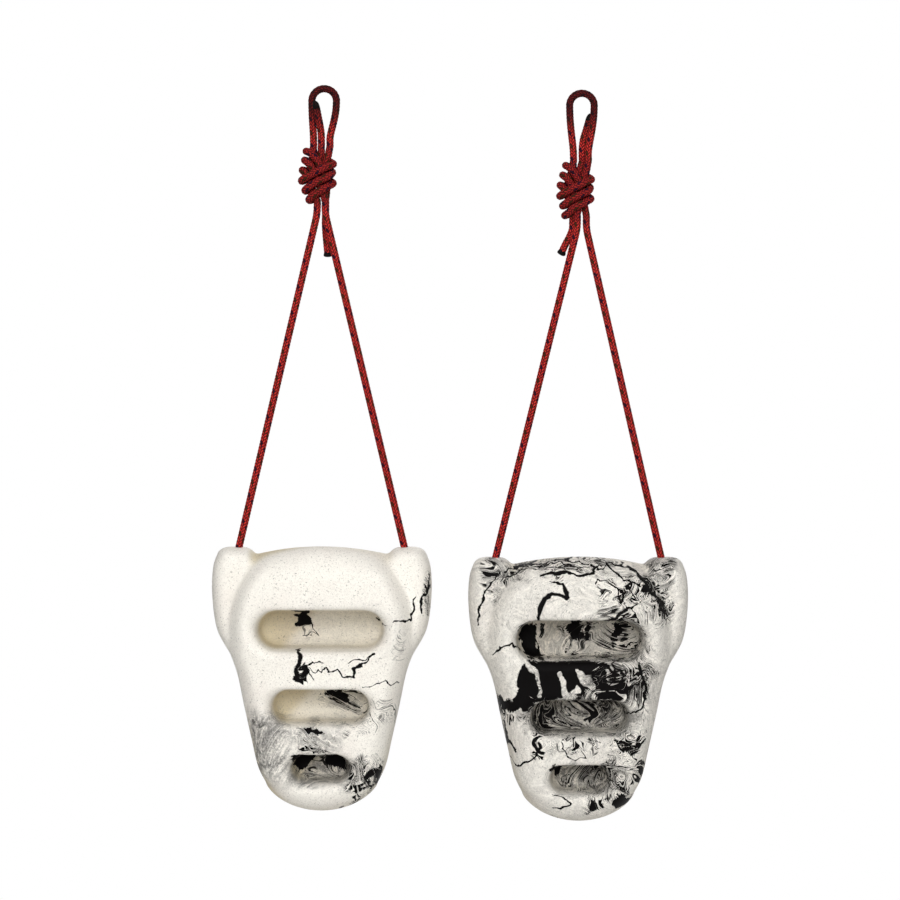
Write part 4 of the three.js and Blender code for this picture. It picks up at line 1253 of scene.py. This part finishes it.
def marbling(n, place, side):
    """Ink and smoke in the resin, 0 to 1: stripes and lines that swirl through it, and single veins."""
    seed = n.vector("ADD", place, SEEDS[side])
    swirled = pushed(n, seed, SWIRLS)
    flat = flattened(n, place, seed, VEIN_JITTER)
    loose = flattened(n, place, seed, ZONE_JITTER)
    layer = n.vector("DOT_PRODUCT", swirled, LAYERS_ACROSS, output=1)
    field = n.plus(layer, n.noise(swirled, *FIELD_NOISE))
    stripe = n.stripes(field, *STRIPES)
    haze = n.noise(swirled, *HAZE_NOISE)
    faded = n.noise(place, FADE_SCALE)

    level = n.times_plus(zone_strength(n, loose, INK_ZONES[side]), -ZONE_DROP, INK_LEVEL)
    above = n.minus(stripe, level)
    ink = n.smooth(above, *INK_EDGE)
    ragged = n.minus(nearest_vein(n, flat, INK_VEINS[side]), n.minus(stripe, 0.5))
    ink = n.larger(ink, n.smooth(ragged, *VEIN_EDGE))
    ink = n.times(ink, n.smooth(nearest_vein(n, flat, CLEAR_VEINS[side]), *CLEAR_EDGE))

    fine_stripe = n.stripes(field, *FINE_STRIPES)
    line_zone = zone_strength(n, loose, LINE_ZONES[side])
    width = n.times(n.times(line_zone, n.smooth(faded, *LINE_FADE)), LINE_WIDTH)
    off_line = n.minus(n.apart(fine_stripe, 0.5), width)
    lines = n.times(n.smooth(off_line, *LINE_EDGE), n.smooth(line_zone, *LINE_ZONE_FADE))
    ink = n.larger(ink, lines)

    fringe = n.times(n.smooth(above, *FRINGE_EDGE), n.smooth(haze, *FRINGE_HAZE))
    smoke_zone = zone_strength(n, loose, SMOKE_ZONES[side])
    dust = n.times_plus(n.noise(place, *DUST_NOISE), DUST_SHARE, haze)
    cloud = n.smooth(n.times_plus(fine_stripe, STRIPE_SHARE, dust), *CLOUD_EDGE)
    smoke = n.larger(n.times(smoke_zone, cloud), n.times(fringe, FRINGE_SHARE))
    return ink, smoke


# Marks in the resin: their noise, the levels between which they show, their strength and their colour
RESIN_MARKS = {
    "stain": ((0.03, 3.0), (0.4, 0.75), 0.16, STAIN),
    "mottle": ((0.42, 2.0, 0.6), (0.5, 0.75), 0.1, GRAIN),
    "grain": ((1.05, 3.0, 0.75), (0.46, 0.68), 0.34, GRAIN),
    "speck": ((0.8, 2.0, 0.75), (0.6, 0.7), 0.62, SPECK),
}
# Where the resin is yellowed and darker, partly real yellowing and partly painted shade in the pockets:
# behind the lips, short of the floors and within this half width, everywhere by the first share and by the
# second one more at the left end of each pocket, along a slant, where it is a painted shadow of the pocket's
# left wall
YELLOW_AND_SHADE_FRONT = (-20.0, -6.0)
YELLOW_AND_SHADE_BACK = (14.0, 10.0)
YELLOW_AND_SHADE_HALF_WIDTH = (54.0, 47.0)
YELLOW_AND_SHADE_SHARES = {"left": (0.27, 0.5), "right": (0.2, 0.12)}
PAINTED_SHADOW_END = (3.0, -9.0)
PAINTED_SHADOW_SLANT = 0.85
POCKETS_FROM = 44.0
POCKETS_APART = 54.0
# How much the grain adds to the smoke, and the smoke's least share
SMOKE_SHARES = (0.9, 0.55)
# The ink's part in the roughness and in the specular level, and their values without ink
RESIN_ROUGHNESS = (-0.1, 0.62)
RESIN_SPECULAR = (-0.07, 0.1)
GRAIN_ROUGHNESS = 0.3
SPECK_RELIEF = -0.8
RESIN_RELIEF = (0.2, 0.3 * MM)


def resin_material(side):
    """Cast resin: pale and grainy, with ink swirled in before it set, and yellowish and darker inside the
    pockets, partly real yellowing and partly painted shade, with a painted shadow at each pocket's left end.
    """
    n = Nodes(bpy.data.materials.new(f"{side}_cast_resin"))
    top = HANGS[side]["x"], 0.0, HANGS[side]["ring_z"]
    place = n.scaled(n.vector("SUBTRACT", n.place(), top), 1 / MM)
    ink, smoke = marbling(n, place, side)

    x, y, z = n.split(place)
    in_pocket = n.times(n.smooth(y, *YELLOW_AND_SHADE_FRONT), n.smooth(n.math("ABSOLUTE", x), *YELLOW_AND_SHADE_HALF_WIDTH))
    in_pocket = n.times(in_pocket, n.smooth(y, *YELLOW_AND_SHADE_BACK))
    # A painted shadow of each pocket's left wall, over its left end along a slant
    below_lip = n.math("FLOORED_MODULO", n.minus(-POCKETS_FROM, z), POCKETS_APART)
    slant = n.times_plus(below_lip, PAINTED_SHADOW_SLANT, x)
    everywhere, shadow_at_end = YELLOW_AND_SHADE_SHARES[side]
    yellow_and_shade = n.times_plus(n.smooth(slant, *PAINTED_SHADOW_END), shadow_at_end, everywhere)
    # Yellowing and painted shade inside the pockets
    base = n.mix(n.times(in_pocket, yellow_and_shade), PALE_RESIN, YELLOWED_AND_SHADED_RESIN)

    noises, marks = {}, {}
    for name, (noise, levels, strength, colour) in RESIN_MARKS.items():
        noises[name] = n.noise(place, *noise)
        marks[name] = n.smooth(noises[name], *levels)
        base = n.mix(n.times(marks[name], strength), base, colour)
    grain = noises["grain"]
    base = n.mix(n.times(smoke, n.times_plus(grain, *SMOKE_SHARES)), base, GREY_SWIRL)
    n.bump(n.times_plus(marks["speck"], SPECK_RELIEF, grain), *RESIN_RELIEF)
    rough = n.times_plus(n.minus(grain, 0.5), GRAIN_ROUGHNESS, n.times_plus(ink, *RESIN_ROUGHNESS))
    shine = n.times_plus(ink, *RESIN_SPECULAR)
    return n.finish(Base_Color=n.mix(ink, base, INK), Roughness=rough, Specular_IOR_Level=shine)


def rig_cord(side, pieces):
    """Knot strands and the tail follow the knot, and the stretch in the tunnel follows the ring; the eye, the
    short end and the legs keep their places, with their transforms baked in.
    """
    crowns, eye, knot, ring = "eye_crowns", f"{side}_eye", f"{side}_knot", f"{side}_ring"
    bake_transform(pieces["eye_crown"])
    for name in ("eye_strand_a", "eye_strand_b", "short_end", "short_tip"):
        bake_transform(pieces[name])
    for name in ("knot_strand_a", "knot_strand_b", "knot_strand_c", "tail_end", "tail_tip"):
        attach(pieces[name], knot)
    for name in ("outer_cord_leg", "inner_cord_leg"):
        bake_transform(pieces[name])
    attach(pieces["cord_in_tunnel"], ring)


def dress_cord(side, hang, melt):
    pieces, lines = whole_cord(side, hang)
    braid = cord_material(side)
    for piece in pieces.values():
        piece.data.materials.append(braid)
    for end, line in (("short", lines["short_end"]), ("tail", lines["tail_end"][::-1])):
        tip = melted_tip(f"{side}_{end}_end_melt", line, end)
        tip.data.materials.append(melt)
        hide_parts(f"{side}_{end}_end_tip")
        pieces[f"{end}_tip"] = tip
    rig_cord(side, pieces)


def dress_casting(side, hang, shape):
    casting = bpy.data.objects.new(f"{side}_casting_resin", shape.data.copy())
    bpy.context.collection.objects.link(casting)
    casting.data.transform(Matrix.Translation((hang["x"], 0, hang["ring_z"])))
    casting.data.materials.clear()
    casting.data.materials.append(resin_material(side))
    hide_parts(f"{side}_ring_casting")
    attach(casting, f"{side}_ring")


melt = melted_material()
for side, hang in HANGS.items():
    hang["leg_end"] = hang["ring_z"] + hang["drop"] + MOUTH_Z - CORD_DIAMETER
    dress_cord(side, hang, melt)
shape = cast_shape()
for side, hang in HANGS.items():
    dress_casting(side, hang, shape)
bpy.data.objects.remove(shape)

# Studio
FLOOR_Z = -0.80
FLOOR_RADIUS = 6.0
FLOOR_SIDES = 96
FLOOR_GREY = (0.82, 0.82, 0.81)
AMBIENT = 0.13
LAMPS = {
    "front": {"at": (-0.10, -2.10, 0.30), "size": 0.8, "watts": 26.5},
    "key": {"at": (-1.35, -1.75, 0.30), "size": 0.22, "watts": 4.5},
    "fill": {"at": (1.5, -1.5, -0.1), "size": 1.2, "watts": 5.5},
    "top": {"at": (0.0, -0.8, 1.1), "size": 1.0, "watts": 8.5},
    "back": {"at": (0.3, 2.1, 0.4), "size": 1.2, "watts": 16.0},
}
LOOK_AT = Vector((0, 0, -0.3))


def seen_directly(n):
    """1 where the camera, a glossy ray or a transmitted ray looks, and 0 where light is gathered."""
    path = n.node("ShaderNodeLightPath").outputs
    total = path["Is Camera Ray"]
    for name in ("Is Glossy Ray", "Is Transmission Ray"):
        total = n.node("ShaderNodeMath", (total, path[name]), operation="ADD", use_clamp=True).outputs[0]
    return total


def add_world():
    world = bpy.data.worlds.new("studio")
    bpy.context.scene.world = world
    n = Nodes(world, "ShaderNodeBackground", "ShaderNodeOutputWorld")
    strength = n.node("ShaderNodeMapRange", {"Value": seen_directly(n), "To Min": AMBIENT, "To Max": 1.0})
    n.finish(Color=(1, 1, 1, 1), Strength=strength.outputs["Result"])


def floor_material():
    """White where it is seen, and grey where it gives light back to the object."""
    n = Nodes(bpy.data.materials.new("studio_floor"))
    white = n.node("ShaderNodeEmission")
    mixed = n.node("ShaderNodeMixShader", (seen_directly(n), n.shader.outputs[0], white.outputs[0]))
    n.put(n.surface, mixed.outputs[0])
    return n.finish(Base_Color=(*FLOOR_GREY, 1), Roughness=0.9)


def add_floor():
    points = np.column_stack([FLOOR_RADIUS * circle(FLOOR_SIDES), np.full(FLOOR_SIDES, FLOOR_Z)])
    floor = new_object("studio_floor", points, [list(range(FLOOR_SIDES))], smooth=False)
    floor.data.materials.append(floor_material())


def add_lamps():
    for name, lamp in LAMPS.items():
        data = bpy.data.lights.new(name, "AREA")
        data.size = lamp["size"]
        data.energy = lamp["watts"]
        obj = bpy.data.objects.new(name, data)
        obj.location = lamp["at"]
        obj.rotation_euler = (LOOK_AT - Vector(lamp["at"])).to_track_quat("-Z", "Y").to_euler()
        bpy.context.collection.objects.link(obj)


add_world()
add_floor()
add_lamps()
bpy.context.scene.view_settings.view_transform = "Standard"
